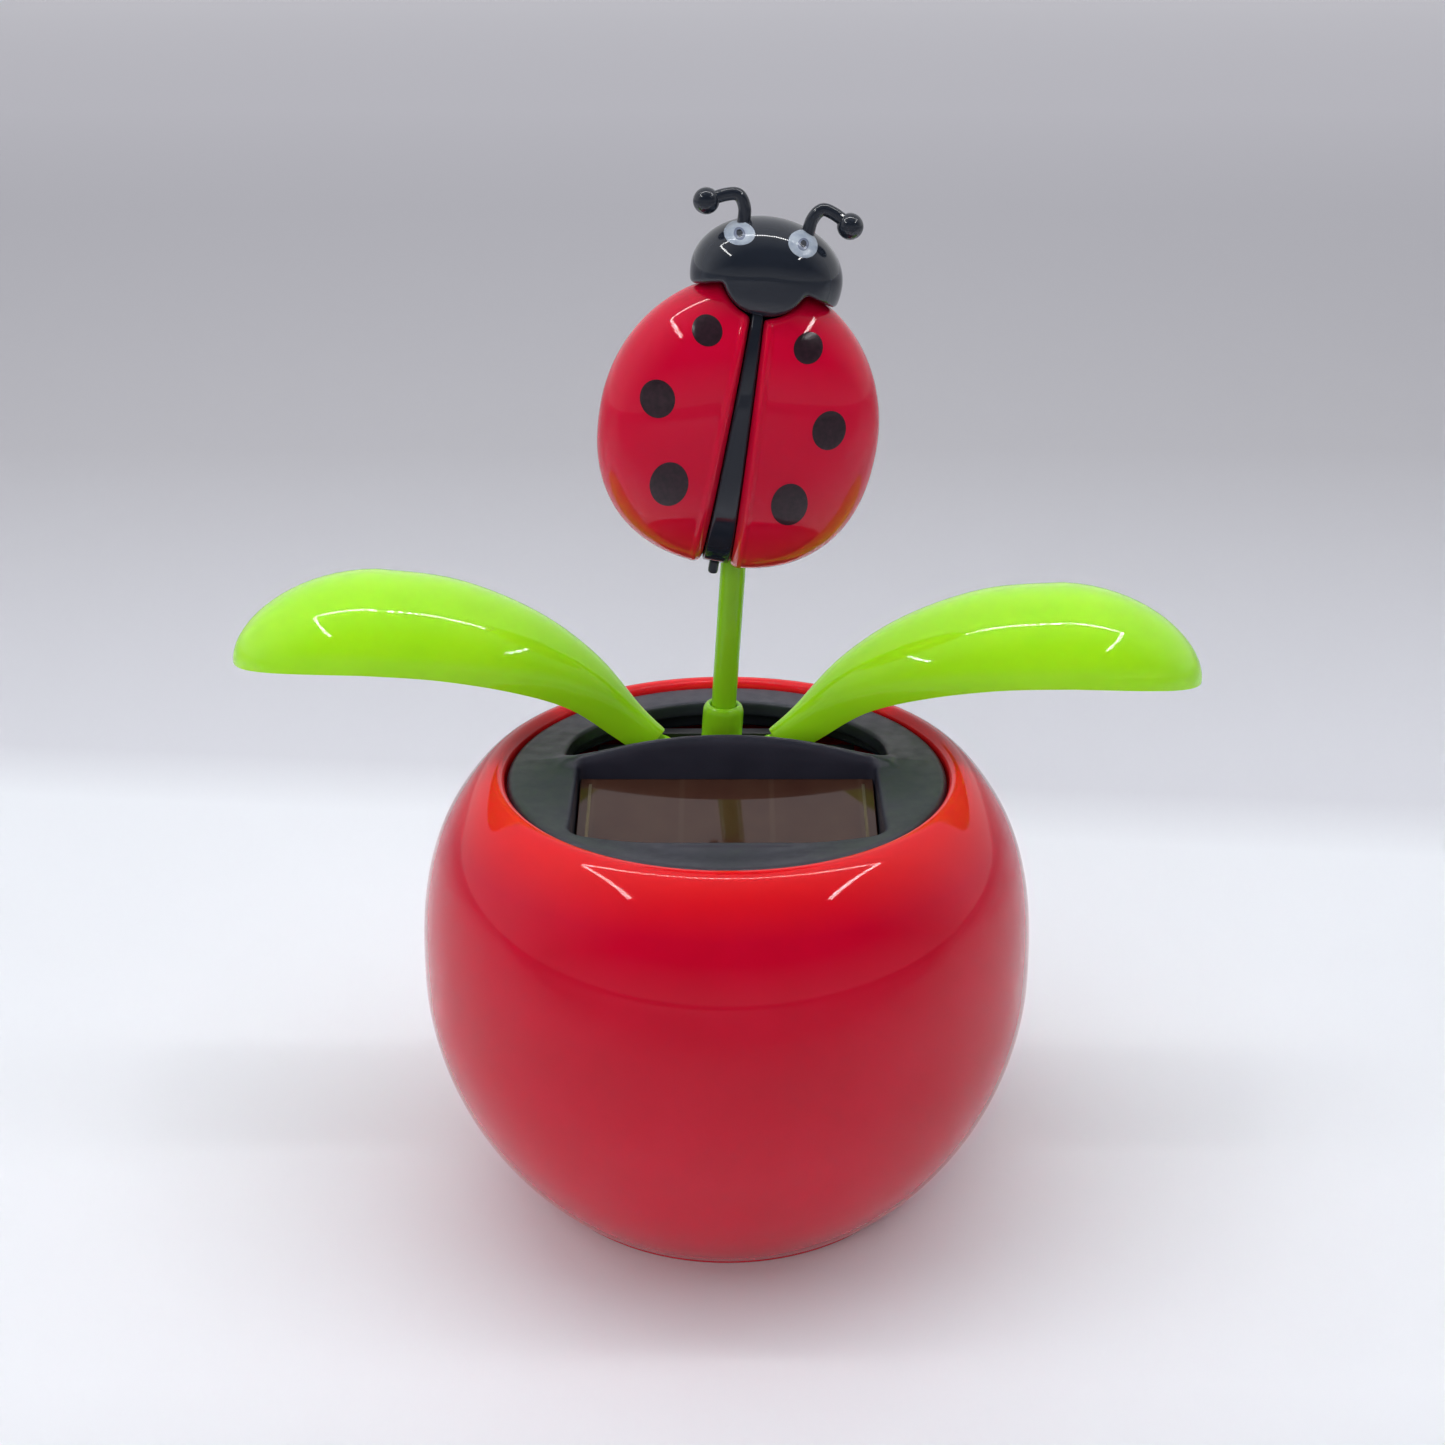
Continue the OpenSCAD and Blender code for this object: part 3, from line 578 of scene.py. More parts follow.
MATERIALS = {m.name: m.material for m in (
    pot_red(), wing_red(), leaf_green(), stem_green(), bug_black(), cover_black(), cell_glass(), foam(),
    board_green(),
    metal("steel", (0.62, 0.61, 0.59), 0.28, streak=(1, 1, 8), size=0.5),
    metal("magnet_steel", (0.45, 0.45, 0.46), 0.22, size=0.8),
    metal("contact", (0.20, 0.16, 0.11), 0.4),
    metal("copper", (0.72, 0.28, 0.11), 0.25, streak=(1, 1, 6)),
    # painted shade: this black stands in for the shade deep in the slot, where the frame shows
    moulded("frame_black", (0.012, 0.012, 0.014), (0.022, 0.022, 0.025)),
    moulded("bobbin_white", (0.70, 0.70, 0.67), (0.62, 0.62, 0.59)),
    moulded("epoxy_black", (0.012, 0.012, 0.013), (0.03, 0.03, 0.03), rough=0.3),
    moulded("capacitor_sleeve", (0.01, 0.02, 0.10), (0.015, 0.03, 0.14), rough=0.25),
    moulded("lead_red", (0.55, 0.01, 0.01), (0.45, 0.01, 0.01), rough=0.35),
    moulded("lead_black", (0.015, 0.015, 0.016), (0.03, 0.03, 0.03), rough=0.35),
    ink("spot_black", (0.018, 0.010, 0.014), (0.036, 0.016, 0.024), rough=0.16, ior=1.42, blotch=0.5,
        amount=0.8, detail=4.0, grain=0.16),
    ink("eye_white", (0.36, 0.41, 0.48), (0.26, 0.31, 0.39)),
    ink("eye_grey", (0.15, 0.18, 0.26), (0.10, 0.12, 0.18)),
)}


# ---- solids described by distance: fillets come from smooth joins ----


def surface_net(distance, low, high, step):
    """Points, quads and normals of the surface where distance(x, y, z) is zero. The points lie on it."""
    counts = [int(math.ceil((b - a) / step)) + 1 for a, b in zip(low, high)]
    axes = [a + step * np.arange(n) for a, n in zip(low, counts)]
    field = distance(*np.meshgrid(*axes, indexing="ij"))
    inside = field < 0
    nx, ny, nz = counts
    total = np.zeros((nx - 1, ny - 1, nz - 1), int)
    crossing = np.zeros((nx - 1, ny - 1, nz - 1, 3))
    hits = np.zeros((nx - 1, ny - 1, nz - 1))
    corner = {}
    for i in (0, 1):
        for j in (0, 1):
            for k in (0, 1):
                part = (slice(i, nx - 1 + i), slice(j, ny - 1 + j), slice(k, nz - 1 + k))
                corner[i, j, k] = field[part]
                total += inside[part]
    active = (total > 0) & (total < 8)
    for a in corner:
        for axis in range(3):
            if a[axis] == 0:
                b = tuple(1 if n == axis else a[n] for n in range(3))
                da, db = corner[a], corner[b]
                cut = active & ((da < 0) != (db < 0))
                share = np.where(cut, da / np.where(cut, da - db, 1), 0)
                for n in range(3):
                    crossing[..., n] += np.where(cut, a[n] + (share if n == axis else 0), 0)
                hits += cut
    number = np.full(active.shape, -1)
    number[active] = np.arange(active.sum())
    cells = np.argwhere(active)
    centre = np.array(low) + step * (cells + 0.5)
    points = np.array(low) + step * (cells + crossing[active] / hits[active][:, None])

    def gradient(p):
        e = step * 0.05
        return np.stack([(distance(*(p + e * np.eye(3)[n]).T) - distance(*(p - e * np.eye(3)[n]).T)) / (2 * e)
                         for n in range(3)], 1)

    for _ in range(3):
        g = gradient(points)
        points = points - g * (distance(*points.T) / np.maximum((g * g).sum(1), 1e-9))[:, None]
        points = np.clip(points, centre - 0.6 * step, centre + 0.6 * step)
    g = gradient(points)
    normals = g / np.maximum(np.linalg.norm(g, axis=1), 1e-9)[:, None]
    faces = []
    for axis in range(3):
        u, v = [n for n in range(3) if n != axis]
        if axis == 1:
            u, v = v, u
        inner = [slice(1, -1)] * 3
        inner[axis] = slice(0, -1)
        outer = list(inner)
        outer[axis] = slice(1, None)
        first, second = inside[tuple(inner)], inside[tuple(outer)]
        at = np.argwhere(first != second)
        flip = first[first != second]
        base = at.copy()
        base[:, u] += 1
        base[:, v] += 1
        quad = []
        for du, dv in ((-1, -1), (0, -1), (0, 0), (-1, 0)):
            cell = base.copy()
            cell[:, u] += du
            cell[:, v] += dv
            quad.append(number[tuple(cell.T)])
        quad = np.stack(quad, 1)
        quad[~flip] = quad[~flip][:, ::-1]
        faces.append(quad)
    return points, np.concatenate(faces), normals


def solid(name, distance, box, step, material, matrices):
    """An object from a distance function in a box, with its exact normals, at each of the matrices."""
    points, faces, normals = surface_net(distance, *box, step)
    places = [np.array(m) for m in matrices]
    faces = np.concatenate([faces + k * len(points) for k in range(len(places))])
    normals = np.concatenate([normals @ m[:3, :3].T for m in places])
    points = np.concatenate([points @ m[:3, :3].T + m[:3, 3] for m in places])
    mesh = bpy.data.meshes.new(name)
    mesh.from_pydata((points * MM).tolist(), [], faces.tolist())
    mesh.polygons.foreach_set("use_smooth", [True] * len(mesh.polygons))
    mesh.normals_split_custom_set_from_vertices(normals.tolist())
    mesh.materials.append(material)
    return add_object(name, mesh)


def carved(name, distance, box, steps, body, slot, *nodes, at=(Matrix(),), material=None):
    step = steps[0]
    return place(solid(name, distance, box, step, MATERIALS[material or slot], at), body, slot, *nodes)


def both(a, b, r=0.0):
    """Where two solids overlap, its edge rounded by r."""
    if not r:
        return np.maximum(a, b)
    h = np.maximum(r - np.abs(a - b), 0) / r
    return np.maximum(a, b) + h * h * r / 4


def either(a, b, r=0.0):
    return -both(-a, -b, r)


def without(a, b, r=0.0):
    return both(a, -b, r)


def slab(value, low, high):
    """Between two levels of a coordinate."""
    return np.abs(value - (low + high) / 2) - (high - low) / 2


def rounded_box(x, y, half_x, half_y, r):
    """Distance to a rounded rectangle about the origin."""
    qx, qy = np.abs(x) - half_x + r, np.abs(y) - half_y + r
    return np.hypot(np.maximum(qx, 0), np.maximum(qy, 0)) + np.minimum(np.maximum(qx, qy), 0) - r


def smooth_step(value, low, high):
    t = np.clip((value - low) / (high - low), 0, 1)
    return t * t * (3 - 2 * t)


# ---- pot ----


def pot_curve(r_end, share, stretch, power):
    """A flattened oval: the pot's radius where share is 0, and r_end where it is 1."""
    end = 1 - (1 / stretch) ** power
    return POT_R * (1 - (share / stretch) ** power) ** (math.log(r_end / POT_R) / math.log(end))


def pot_radius(z):
    """Outer radius at a height: two curves that meet at the belly."""
    if z < BELLY_Z:
        return pot_curve(FOOT_R, (BELLY_Z - z) / BELLY_Z, stretch=1.34, power=1.9)
    return pot_curve(MOUTH_R + RIM_ROUND, (z - BELLY_Z) / (POT_H - BELLY_Z), stretch=1.174, power=2.6)


def build_pot():
    foot_round, lip_r, edge = 0.35, 1.0, 0.15
    shoulder_z = POT_H - 4.5
    shoulder_pull, lip_pull = 2.2, 1.5  # how far the curve between them runs on at each end
    steps = 84
    levels = [foot_round + (shoulder_z - foot_round) * k / steps for k in range(steps + 1)]
    outer = [(pot_radius(z), z) for z in levels]
    # the shoulder rolls into the mouth without a bead
    start, end = Vector(outer[-1]), Vector((MOUTH_R + lip_r, POT_H))
    way = Vector((pot_radius(shoulder_z) - pot_radius(shoulder_z - 0.2), 0.2)).normalized()
    first, second = start + way * shoulder_pull, end + Vector((lip_pull, 0))
    rim = [tuple(start * (1 - t) ** 3 + first * 3 * t * (1 - t) ** 2 + second * 3 * t * t * (1 - t)
                 + end * t ** 3) for t in (k / 24 for k in range(1, 25))]
    rim += arc(MOUTH_R + lip_r, POT_H - lip_r, lip_r, 99, 171, 8)
    hollow_top = COVER_BOTTOM - SEAT_T
    hollow_low = BASE_T + LEDGE_T
    wall = POT_WALL * 1.15  # measured level, on a wall that leans
    levels = [hollow_top + (hollow_low - hollow_top) * k / 40 for k in range(41)]
    profile = (outer + rim
               + [(MOUTH_R, POT_H - lip_r - 0.1), (MOUTH_R, COVER_BOTTOM + 0.1),
                  (MOUTH_R - 0.1, COVER_BOTTOM), (SEAT_R + edge, COVER_BOTTOM),
                  (SEAT_R, COVER_BOTTOM - edge), (SEAT_R, hollow_top + edge), (SEAT_R + edge, hollow_top)]
               + [(pot_radius(z) - wall, z) for z in levels]
               + [(LEDGE_R + edge, hollow_low), (LEDGE_R, hollow_low - edge), (LEDGE_R, BASE_T + edge),
                  (LEDGE_R + edge, BASE_T), (RECESS_R - 0.05, BASE_T), (RECESS_R, BASE_T - 0.05)]
               + arc(RECESS_R + foot_round, foot_round, foot_round, 180, 270, 5)
               + arc(pot_radius(foot_round) - foot_round, foot_round, foot_round, 270, 345, 5))
    piece("pot", lathe(profile, 192), "root", "pot_red", "pot_shell", sharp=50)


# ---- cover and cell ----


def cover_height(x, y):
    """The cover's top: its rim is level, and round the pocket it falls from the rear to the front lip."""
    rim_end, full = 0.3, 6.5  # in from the edge: where the slope starts, and where it is full
    inset = smooth_step(COVER_R - np.hypot(x, y), rim_end, full)
    slope = np.interp(y, [-16.5, POCKET_FRONT, SLOT_FRONT, 9.0], [-0.95, -0.9, 0.45, 0.0])
    return COVER_TOP + inset * slope


def crest_height(x):
    """Top of the raised wall: an arc that falls from the middle to its ends."""
    half = SLOT_HALF - 0.3
    radius = (half * half + CREST_FALL * CREST_FALL) / (2 * CREST_FALL)
    return COVER_TOP + CREST_H - radius + np.sqrt(np.maximum(radius * radius - x * x, 0.01))


def bed_level(y, under):
    """Height of a plane under the cell's top face."""
    tilt = math.radians(CELL_TILT)
    return CELL_REAR_Z - (CELL_REAR_Y - y) * math.tan(tilt) - under / math.cos(tilt)


def slot_distance(x, y):
    """The slot: a wide rounded bar that its rear arc cuts."""
    depth = SLOT_R + 2 - SLOT_FRONT
    bar = rounded_box(x, y - SLOT_FRONT - depth / 2, SLOT_HALF, depth / 2, 1.5)
    return both(bar, np.hypot(x, y) - SLOT_R, 1.2)


def pocket_distance(x, y):
    """The cell's pocket, its front corners rounder than its rear ones."""
    middle = (POCKET_FRONT + POCKET_REAR) / 2
    return rounded_box(x, y - middle, POCKET_HALF, (POCKET_REAR - POCKET_FRONT) / 2,
                       np.where(y < middle, 2.0, 0.9))


def cover_distance(x, y, z):
    """The plate with its raised wall, slot and pocket, and the tray and skirt under it."""
    r = np.hypot(x, y)
    tray_wall, skirt_t = 1.4, 1.2
    plate = both(r - COVER_R, both(z - cover_height(x, y), COVER_BOTTOM - z, 0.3), 0.9)
    # the raised wall, thick at its foot, with a round top
    middle = SLOT_FRONT - CREST_T / 2
    lean = 0.12 * np.maximum(crest_height(x) - z, 0)
    wall = np.abs(y - middle + lean) - CREST_T / 2 - lean
    wall = both(wall, both(z - crest_height(x), np.abs(x) - SLOT_HALF + 0.2, 0.6), 0.9)
    body = either(plate, both(wall, COVER_BOTTOM - z), 1.4)
    # tray under the pocket, held inside the pot's mouth
    tray = both(pocket_distance(x, y) - tray_wall, bed_level(y, CELL_T + PAD_T + tray_wall) - z, 0.5)
    tray = both(tray, both(z - COVER_TOP + 0.9, r - SEAT_R + GAP), 0.3)
    tray = both(tray, y - SLOT_FRONT)
    skirt_r = SEAT_R - GAP
    skirt = both(slab(r, skirt_r - skirt_t, skirt_r), slab(z, COVER_BOTTOM - 2, COVER_BOTTOM + 0.5), 0.3)
    body = either(body, either(tray, skirt))
    body = without(body, both(slot_distance(x, y), slab(z, COVER_BOTTOM - 8, POT_H + 9)), 0.45)
    pocket = both(pocket_distance(x, y), bed_level(y, CELL_T + PAD_T) - z)
    return without(body, pocket, 0.7)


def build_cover():
    reach = COVER_R + 0.6
    box = (-reach, -reach, 38.0), (reach, reach, COVER_TOP + CREST_H + 0.6)
    carved("cover", cover_distance, box, (0.27, 0.5), "root", "cover_black", "top_cover")


def bevel_edges(obj, width, segments, angle=30):
    """Rounds the edges that are sharper than angle degrees."""
    modifier = obj.modifiers.new("edges", "BEVEL")
    modifier.width = width * MM
    modifier.segments = segments
    modifier.limit_method = "ANGLE"
    modifier.angle_limit = math.radians(angle)
    modifier.harden_normals = True


def on_bed(name, end_gap, half, top, thick, material, bevel):
    """A flat piece in the tilted bed, short of the cell's ends by a gap, its top a depth under the cell's."""
    tilt = math.radians(CELL_TILT)
    along = Vector((0, -math.cos(tilt), -math.sin(tilt)))
    down = Vector((0, -math.sin(tilt), -math.cos(tilt)))
    start = Vector((0, CELL_REAR_Y, CELL_REAR_Z))
    front, rear = end_gap, CELL_D - end_gap
    verts = [tuple(start + along * a + down * d + Vector((x, 0, 0))) for d in (top, top + thick)
             for a, x in ((front, -half), (front, half), (rear, half), (rear, -half))]
    faces = [(0, 1, 2, 3), (7, 6, 5, 4), (0, 4, 5, 1), (1, 5, 6, 2), (2, 6, 7, 3), (3, 7, 4, 0)]
    obj = make_mesh(name, verts, faces, MATERIALS[material], sharp=30)
    bevel_edges(obj, bevel, 3)
    return obj


def build_cell():
    half = CELL_W / 2
    place(on_bed("cell_glass", 0, half, 0, CELL_T, "cell_glass", 0.12), "root", "cell_glass", "solar_cell")
    for side, name in ((-1, "left"), (1, "right")):
        strip = on_bed("contact_" + name, 0.9, 0.16, -0.015, 0.03, "contact", 0.005)
        strip.location.x = side * (half - 1.1) * MM
        place(strip, "root", "cell_glass")
    pad = on_bed("cell_foam", 0.6, half - 0.6, CELL_T, PAD_T, "foam", 0.1)
    place(pad, "root", "foam", "cell_pad")


# ---- ladybird, drawn upright with the wings' widest point at the origin ----


def egg_radius(u, v, half, up, down):
    """1 on the egg outline and less inside it."""
    q = np.where(v > 0, 2.0, 2.35)
    return ((np.abs(u) / half) ** q + (np.abs(v) / np.where(v > 0, up, down)) ** q) ** (1 / q)


def dome_distance(u, y, v, half, up, down, depth, inset=0.0):
    """A dome towards -Y over an egg outline, from the rim's plane forward."""
    rho = egg_radius(u, v, half - inset, up - inset, down - inset)
    d = np.maximum(RIM_Y - y, 0) / (depth - inset)
    f = (rho ** DOME_POWER + d ** DOME_POWER) ** (1 / DOME_POWER) - 1
    return f * (depth + half) / 2 * 0.85


def strip_centre(v):
    """Across: the strip leans a little to one side towards the head."""
    return STRIP_SHIFT * np.clip((v + WING_DOWN) / (STRIP_TOP + WING_DOWN), 0, 1)


def strip_half(v):
    """Half width of the black strip: narrow at the chin, wide at the tail."""
    return np.interp(v, [-WING_DOWN, STRIP_TOP], [1.5, 0.6])


def chin_distance(u, v):
    """Round the chin, where the head reaches over the wings."""
    return np.hypot(u - STRIP_SHIFT * 0.6, v - CHIN_V) - CHIN_R


def wings_outline(u, v, inset):
    return (egg_radius(u, v, WING_R - inset, WING_UP - inset, WING_DOWN - inset) - 1) * WING_R * 0.9


def wing_distance(u, y, v):
    """A thin shell with a slit for the strip, in a valley that a fine bead runs along."""
    valley_d, bead_h, bead_w, bead_off = 0.85, 0.16, 0.3, 0.22
    off = np.abs(u - strip_centre(v))
    rib = strip_half(v)
    flank = np.interp(v, [-WING_DOWN, STRIP_TOP], [0.85, 0.42])
    valley = 1 - smooth_step(off, rib, rib + flank)
    bead = np.exp(-((off - rib - flank - bead_off) / bead_w) ** 2)
    shell_y = y - valley_d * valley + bead_h * bead * smooth_step(RIM_Y - y, 1.0, 3.0)
    outer = dome_distance(u, shell_y, v, WING_R, WING_UP, WING_DOWN, WING_DEPTH)
    inner = dome_distance(u, y, v, WING_R, WING_UP, WING_DOWN, WING_DEPTH, WING_T + 0.9 * valley)
    shell = without(outer, inner, 0.35)
    shell = both(shell, y - RIM_Y, 0.5)
    shell = without(shell, off - rib - 0.06, 0.35)
    return without(shell, chin_distance(u, v) - 0.12, 0.7)


def build_wings():
    box = ((-WING_R - 0.7, RIM_Y - WING_DEPTH - 0.8, -WING_DOWN - 0.7),
           (WING_R + 0.7, RIM_Y + 0.7, WING_UP + 0.7))
    carved("wings", wing_distance, box, (0.2, 0.4), "rocker", "wing_red", "ladybug_wings", at=[AT_BUG])


TO_BUG = AT_BUG.inverted() @ AT_LEAN
STEM_FOOT = TO_BUG @ Vector((PIVOT.x, PIVOT.y, PIVOT.z + BUG_RISE))
STEM_WAY = (TO_BUG.to_3x3() @ Vector((0, 0, 1))).normalized()


def from_stem(u, y, v):
    """Distance from the stem's axis, and the height along it."""
    p = [u - STEM_FOOT.x, y - STEM_FOOT.y, v - STEM_FOOT.z]
    along = sum(a * b for a, b in zip(p, STEM_WAY))
    return np.sqrt(np.maximum(sum(a * a for a in p) - along * along, 0)), along


def back_distance(u, y, v):
    """The plate behind the wings, with the stem's boss, a rib, the strip and the tail's tab."""
    boss_t = 1.2
    plate = both(wings_outline(u, v, 0.4), slab(y, RIM_Y, BACK_Y), 0.5)
    reach, along = from_stem(u, y, v)
    boss = both(reach - STEM_R - boss_t, slab(along, -2.0, 9.0), 0.5)
    # stiffening rib across the back
    cross = both(slab(v, -0.6, 0.6), both(slab(y, BACK_Y - 0.3, BACK_Y + 1.0), np.abs(u) - 8.5, 0.6), 0.6)
    body = either(either(plate, boss, 1.0), cross, 0.7)
    body = without(body, both(reach - STEM_R - 0.05, along - 8.0), 0.2)
    # the strip between the wings
    off = np.abs(u - strip_centre(v))
    sunk = dome_distance(u, y, v, WING_R - 0.8, WING_UP, WING_DOWN - 0.3, WING_DEPTH - 0.8)
    rib = both(off - strip_half(v) + 0.02, both(sunk, v - STRIP_TOP - 1.5), 0.35)
    rib = both(rib, y - RIM_Y - 0.4)
    body = either(body, rib, 0.2)
    tab = both(both(np.abs(u) - 0.52, slab(y, RIM_Y - 0.6, BACK_Y - 0.1), 0.4),
               slab(v, -WING_DOWN - 1.3, -WING_DOWN + 4), 0.4)
    return either(body, tab, 0.3)


def build_back():
    box = ((-WING_R - 0.6, RIM_Y - WING_DEPTH - 0.6, -WING_DOWN - 1.9),
           (WING_R + 0.6, STEM_FOOT.y + STEM_R + 1.9, WING_UP + 0.7))
    carved("back", back_distance, box, (0.22, 0.4), "rocker", "bug_black", "ladybug_back", at=[AT_BUG])


def head_distance(u, y, v):
    """A dome cut along the wings' outline, except at the chin."""
    skull = dome_distance(u, y, v - HEAD_V, HEAD_R, HEAD_UP, HEAD_DOWN, HEAD_DEPTH)
    skull = both(skull, y - RIM_Y, 0.5)
    return both(skull, either(-wings_outline(u, v, -GAP), chin_distance(u, v), 0.5), 0.5)


def build_head():
    box = ((-HEAD_R - 0.6, RIM_Y - HEAD_DEPTH - 0.6, HEAD_V - HEAD_DOWN - 0.6),
           (HEAD_R + 0.6, RIM_Y + 0.6, HEAD_V + HEAD_UP + 0.6))
    carved("head", head_distance, box, (0.16, 0.35), "rocker", "bug_black", "ladybug_head", at=[AT_BUG])


def build_antennae():
    """Bent feelers, each a smooth tube that ends in a ball."""
    top, y = HEAD_V + HEAD_UP, RIM_Y - 1.6
    r, ball_r = 0.64, 1.3
    bends = ((3.2, -1.6), (3.3, 0.4), (4.1, 1.59), (5.4, 1.4), (7.1, 0.52))
    parts = []
    for side in (-1, 1):
        knees = [(side * x, y, top + v) for x, v in bends]
        # the stalk stops short of the last knee, where the ball is
        stalk = [catmull(knees, k / 8) for k in range(8 * (len(knees) - 1) - 4)]
        end = np.array(knees[-1])
        forward = end - stalk[-1]
        forward /= np.linalg.norm(forward)
        start = math.degrees(math.asin(r / ball_r))
        ball = [math.radians(start + (177 - start) * k / 16) for k in range(17)]
        path = stalk + [end - forward * ball_r * math.cos(a) for a in ball]
        radii = [r] * len(stalk) + [ball_r * math.sin(a) for a in ball]
        parts.append(moved(tube(path, radii, 24, (0, 1, 0)), AT_BUG))
    piece("antennae", join_parts(parts), "rocker", "bug_black", "ladybug_antennae")


def on_dome(u, v, lift, half=WING_R, up=WING_UP, down=WING_DOWN, depth=WING_DEPTH, middle=0.0):
    """A point of a dome's surface over (u, v), lifted along the dome's normal."""
    def level(a, b):
        rho = float(egg_radius(np.array(a), np.array(b - middle), half, up, down))
        return RIM_Y - depth * max(1 - rho ** DOME_POWER, 1e-4) ** (1 / DOME_POWER)

    e = 0.02  # half the step over which the slope is taken
    normal = Vector(((level(u + e, v) - level(u - e, v)) / (2 * e), -1.0,
                     (level(u, v + e) - level(u, v - e)) / (2 * e))).normalized()
    return Vector((u, level(u, v), v)) + normal * lift


def decal(name, centre, size, lift, material, turn=0.0, **dome):
    """A printed oval that lies on a dome: a thin pad whose edge runs down to the surface."""
    rings, steps = 7, 40
    off, sunk = 0.012, -0.12  # clear of the dome's facets, and the last ring's depth under them
    a = math.radians(turn)
    verts = []
    for k in range(rings + 2):
        share = min(k, rings) / rings
        rise = lift * min(1.0, (1 - share) * 6) if k <= rings else sunk
        for j in range(steps):
            t = 2 * math.pi * j / steps
            x, z = share * size[0] * math.cos(t), share * size[1] * math.sin(t)
            u = centre[0] + x * math.cos(a) - z * math.sin(a)
            v = centre[1] + x * math.sin(a) + z * math.cos(a)
            verts.append(on_dome(u, v, rise + off, **dome))
    faces = grid_faces(rings + 2, steps)
    faces.append(tuple((rings + 1) * steps + j for j in range(steps)))
    piece(name, moved((verts, faces), AT_BUG), "rocker", "bug_black", material=material, sharp=60)


# place across and up, half width and half height
SPOTS = [(-5.0, 10.6, 1.5, 1.4), (-8.7, 3.3, 1.75, 1.85), (-6.2, -4.9, 1.9, 2.4),
         (5.0, 10.6, 1.45, 1.45), (8.5, 3.1, 1.7, 1.95), (6.0, -4.9, 1.85, 2.3)]
# side, place across and up from the head's middle, half height, turn
EYES = [("left", -3.45, 4.0, 0.9, 12), ("right", 2.75, 4.1, 1.05, -12)]


def build_print():
    for k, (u, v, half_u, half_v) in enumerate(SPOTS):
        decal("spot_%d" % (k + 1), (u, v), (half_u, half_v), 0.03, "spot_black", turn=-8 if u < 0 else 8)
    skull = dict(half=HEAD_R, up=HEAD_UP, down=HEAD_DOWN, depth=HEAD_DEPTH, middle=HEAD_V)
    for side, u, rise, tall, turn in EYES:
        v = HEAD_V + rise
        decal("eye_" + side, (u, v), (1.5, tall), 0.03, "eye_white", turn=turn, **skull)
        decal("iris_" + side, (u, v), (0.62, 0.55), 0.05, "eye_grey", **skull)
        decal("pupil_" + side, (u, v + 0.05), (0.34, 0.32), 0.07, "bug_black", **skull)


# ---- stem, rocker and leaves ----


def build_stem():
    low, top, r = STEM_BOTTOM, BUG_RISE + 8, STEM_R
    profile = [(0, low), (r - 0.25, low), (r, low + 0.25)]
    profile += [(r, low + 0.3 + (top - low - 0.7) * k / 30) for k in range(31)]
    profile += [(r, top - 0.3), (r - 0.3, top), (0, top)]
    piece("stem_rod", moved(lathe(profile, 48, closed=False), AT_PIVOT), "rocker", "stem_green", "stem",
          sharp=50)


def rocker_distance(x, y, z):
    """The rocker in its own axes: the pivot at the origin and the stem along Z."""
    hub_r, bar, pin = 2.4, 1.8, 1.05
    front, back = -4.3, 5.0  # the hub's ends
    bar_front, bar_t = -0.7, 2.2
    saddle = WEIGHT_TOP - PIVOT.z
    peg_z, peg_r = -PEG_DROP, 0.9
    hub = both(np.hypot(x, z) - hub_r, slab(y, front, back), 0.5)
    block = both(rounded_box(x, y, bar, bar, 0.35), slab(z, 0, SOCKET_BOTTOM), 0.4)
    socket = both(np.hypot(x, y) - SOCKET_R + 0.03 * (z - SOCKET_BOTTOM) / 6,
                  slab(z, SOCKET_BOTTOM - 2, SOCKET_TOP), 1.1)
    body = either(either(hub, block, 1.4), socket, 0.8)
    drop = both(rounded_box(x, y - bar_front - bar_t / 2, bar, bar_t / 2, 0.3), slab(z, saddle, 0))
    beam = both(both(slab(y, bar_front, bar_front + bar_t), slab(z, peg_z - 1.4, peg_z + 1.4), 0.5),
                np.abs(x) - HINGE_OUT - 1.2, 0.5)
    pegs = both(np.hypot(np.abs(x) - HINGE_OUT, z - peg_z) - peg_r, slab(y, -3.0, 0.0), 0.4)
    plate = both(rounded_box(x, y, 6.0, WEIGHT_D / 2, 0.8), slab(z, saddle, saddle + 1.0), 0.4)
    peg = both(np.hypot(x, y) - 1.5, slab(z, saddle - 4.0, saddle + 0.3), 0.4)
    body = either(body, either(either(drop, beam, 0.7), either(plate, peg, 0.0), 0.9), 0.7)
    body = either(body, pegs, 0.3)
    body = without(body, np.hypot(x, z) - pin, 0.25)
    return without(body, both(np.hypot(x, y) - STEM_R - 0.06, STEM_BOTTOM - z), 0.45)


def build_rocker():
    box = ((-HINGE_OUT - 1.7, -5.4, WEIGHT_TOP - PIVOT.z - 4.5), (HINGE_OUT + 1.7, 5.6, SOCKET_TOP + 0.5))
    carved("rocker", rocker_distance, box, (0.26, 0.5), "rocker", "stem_green", "rocker_arm", at=[AT_PIVOT])


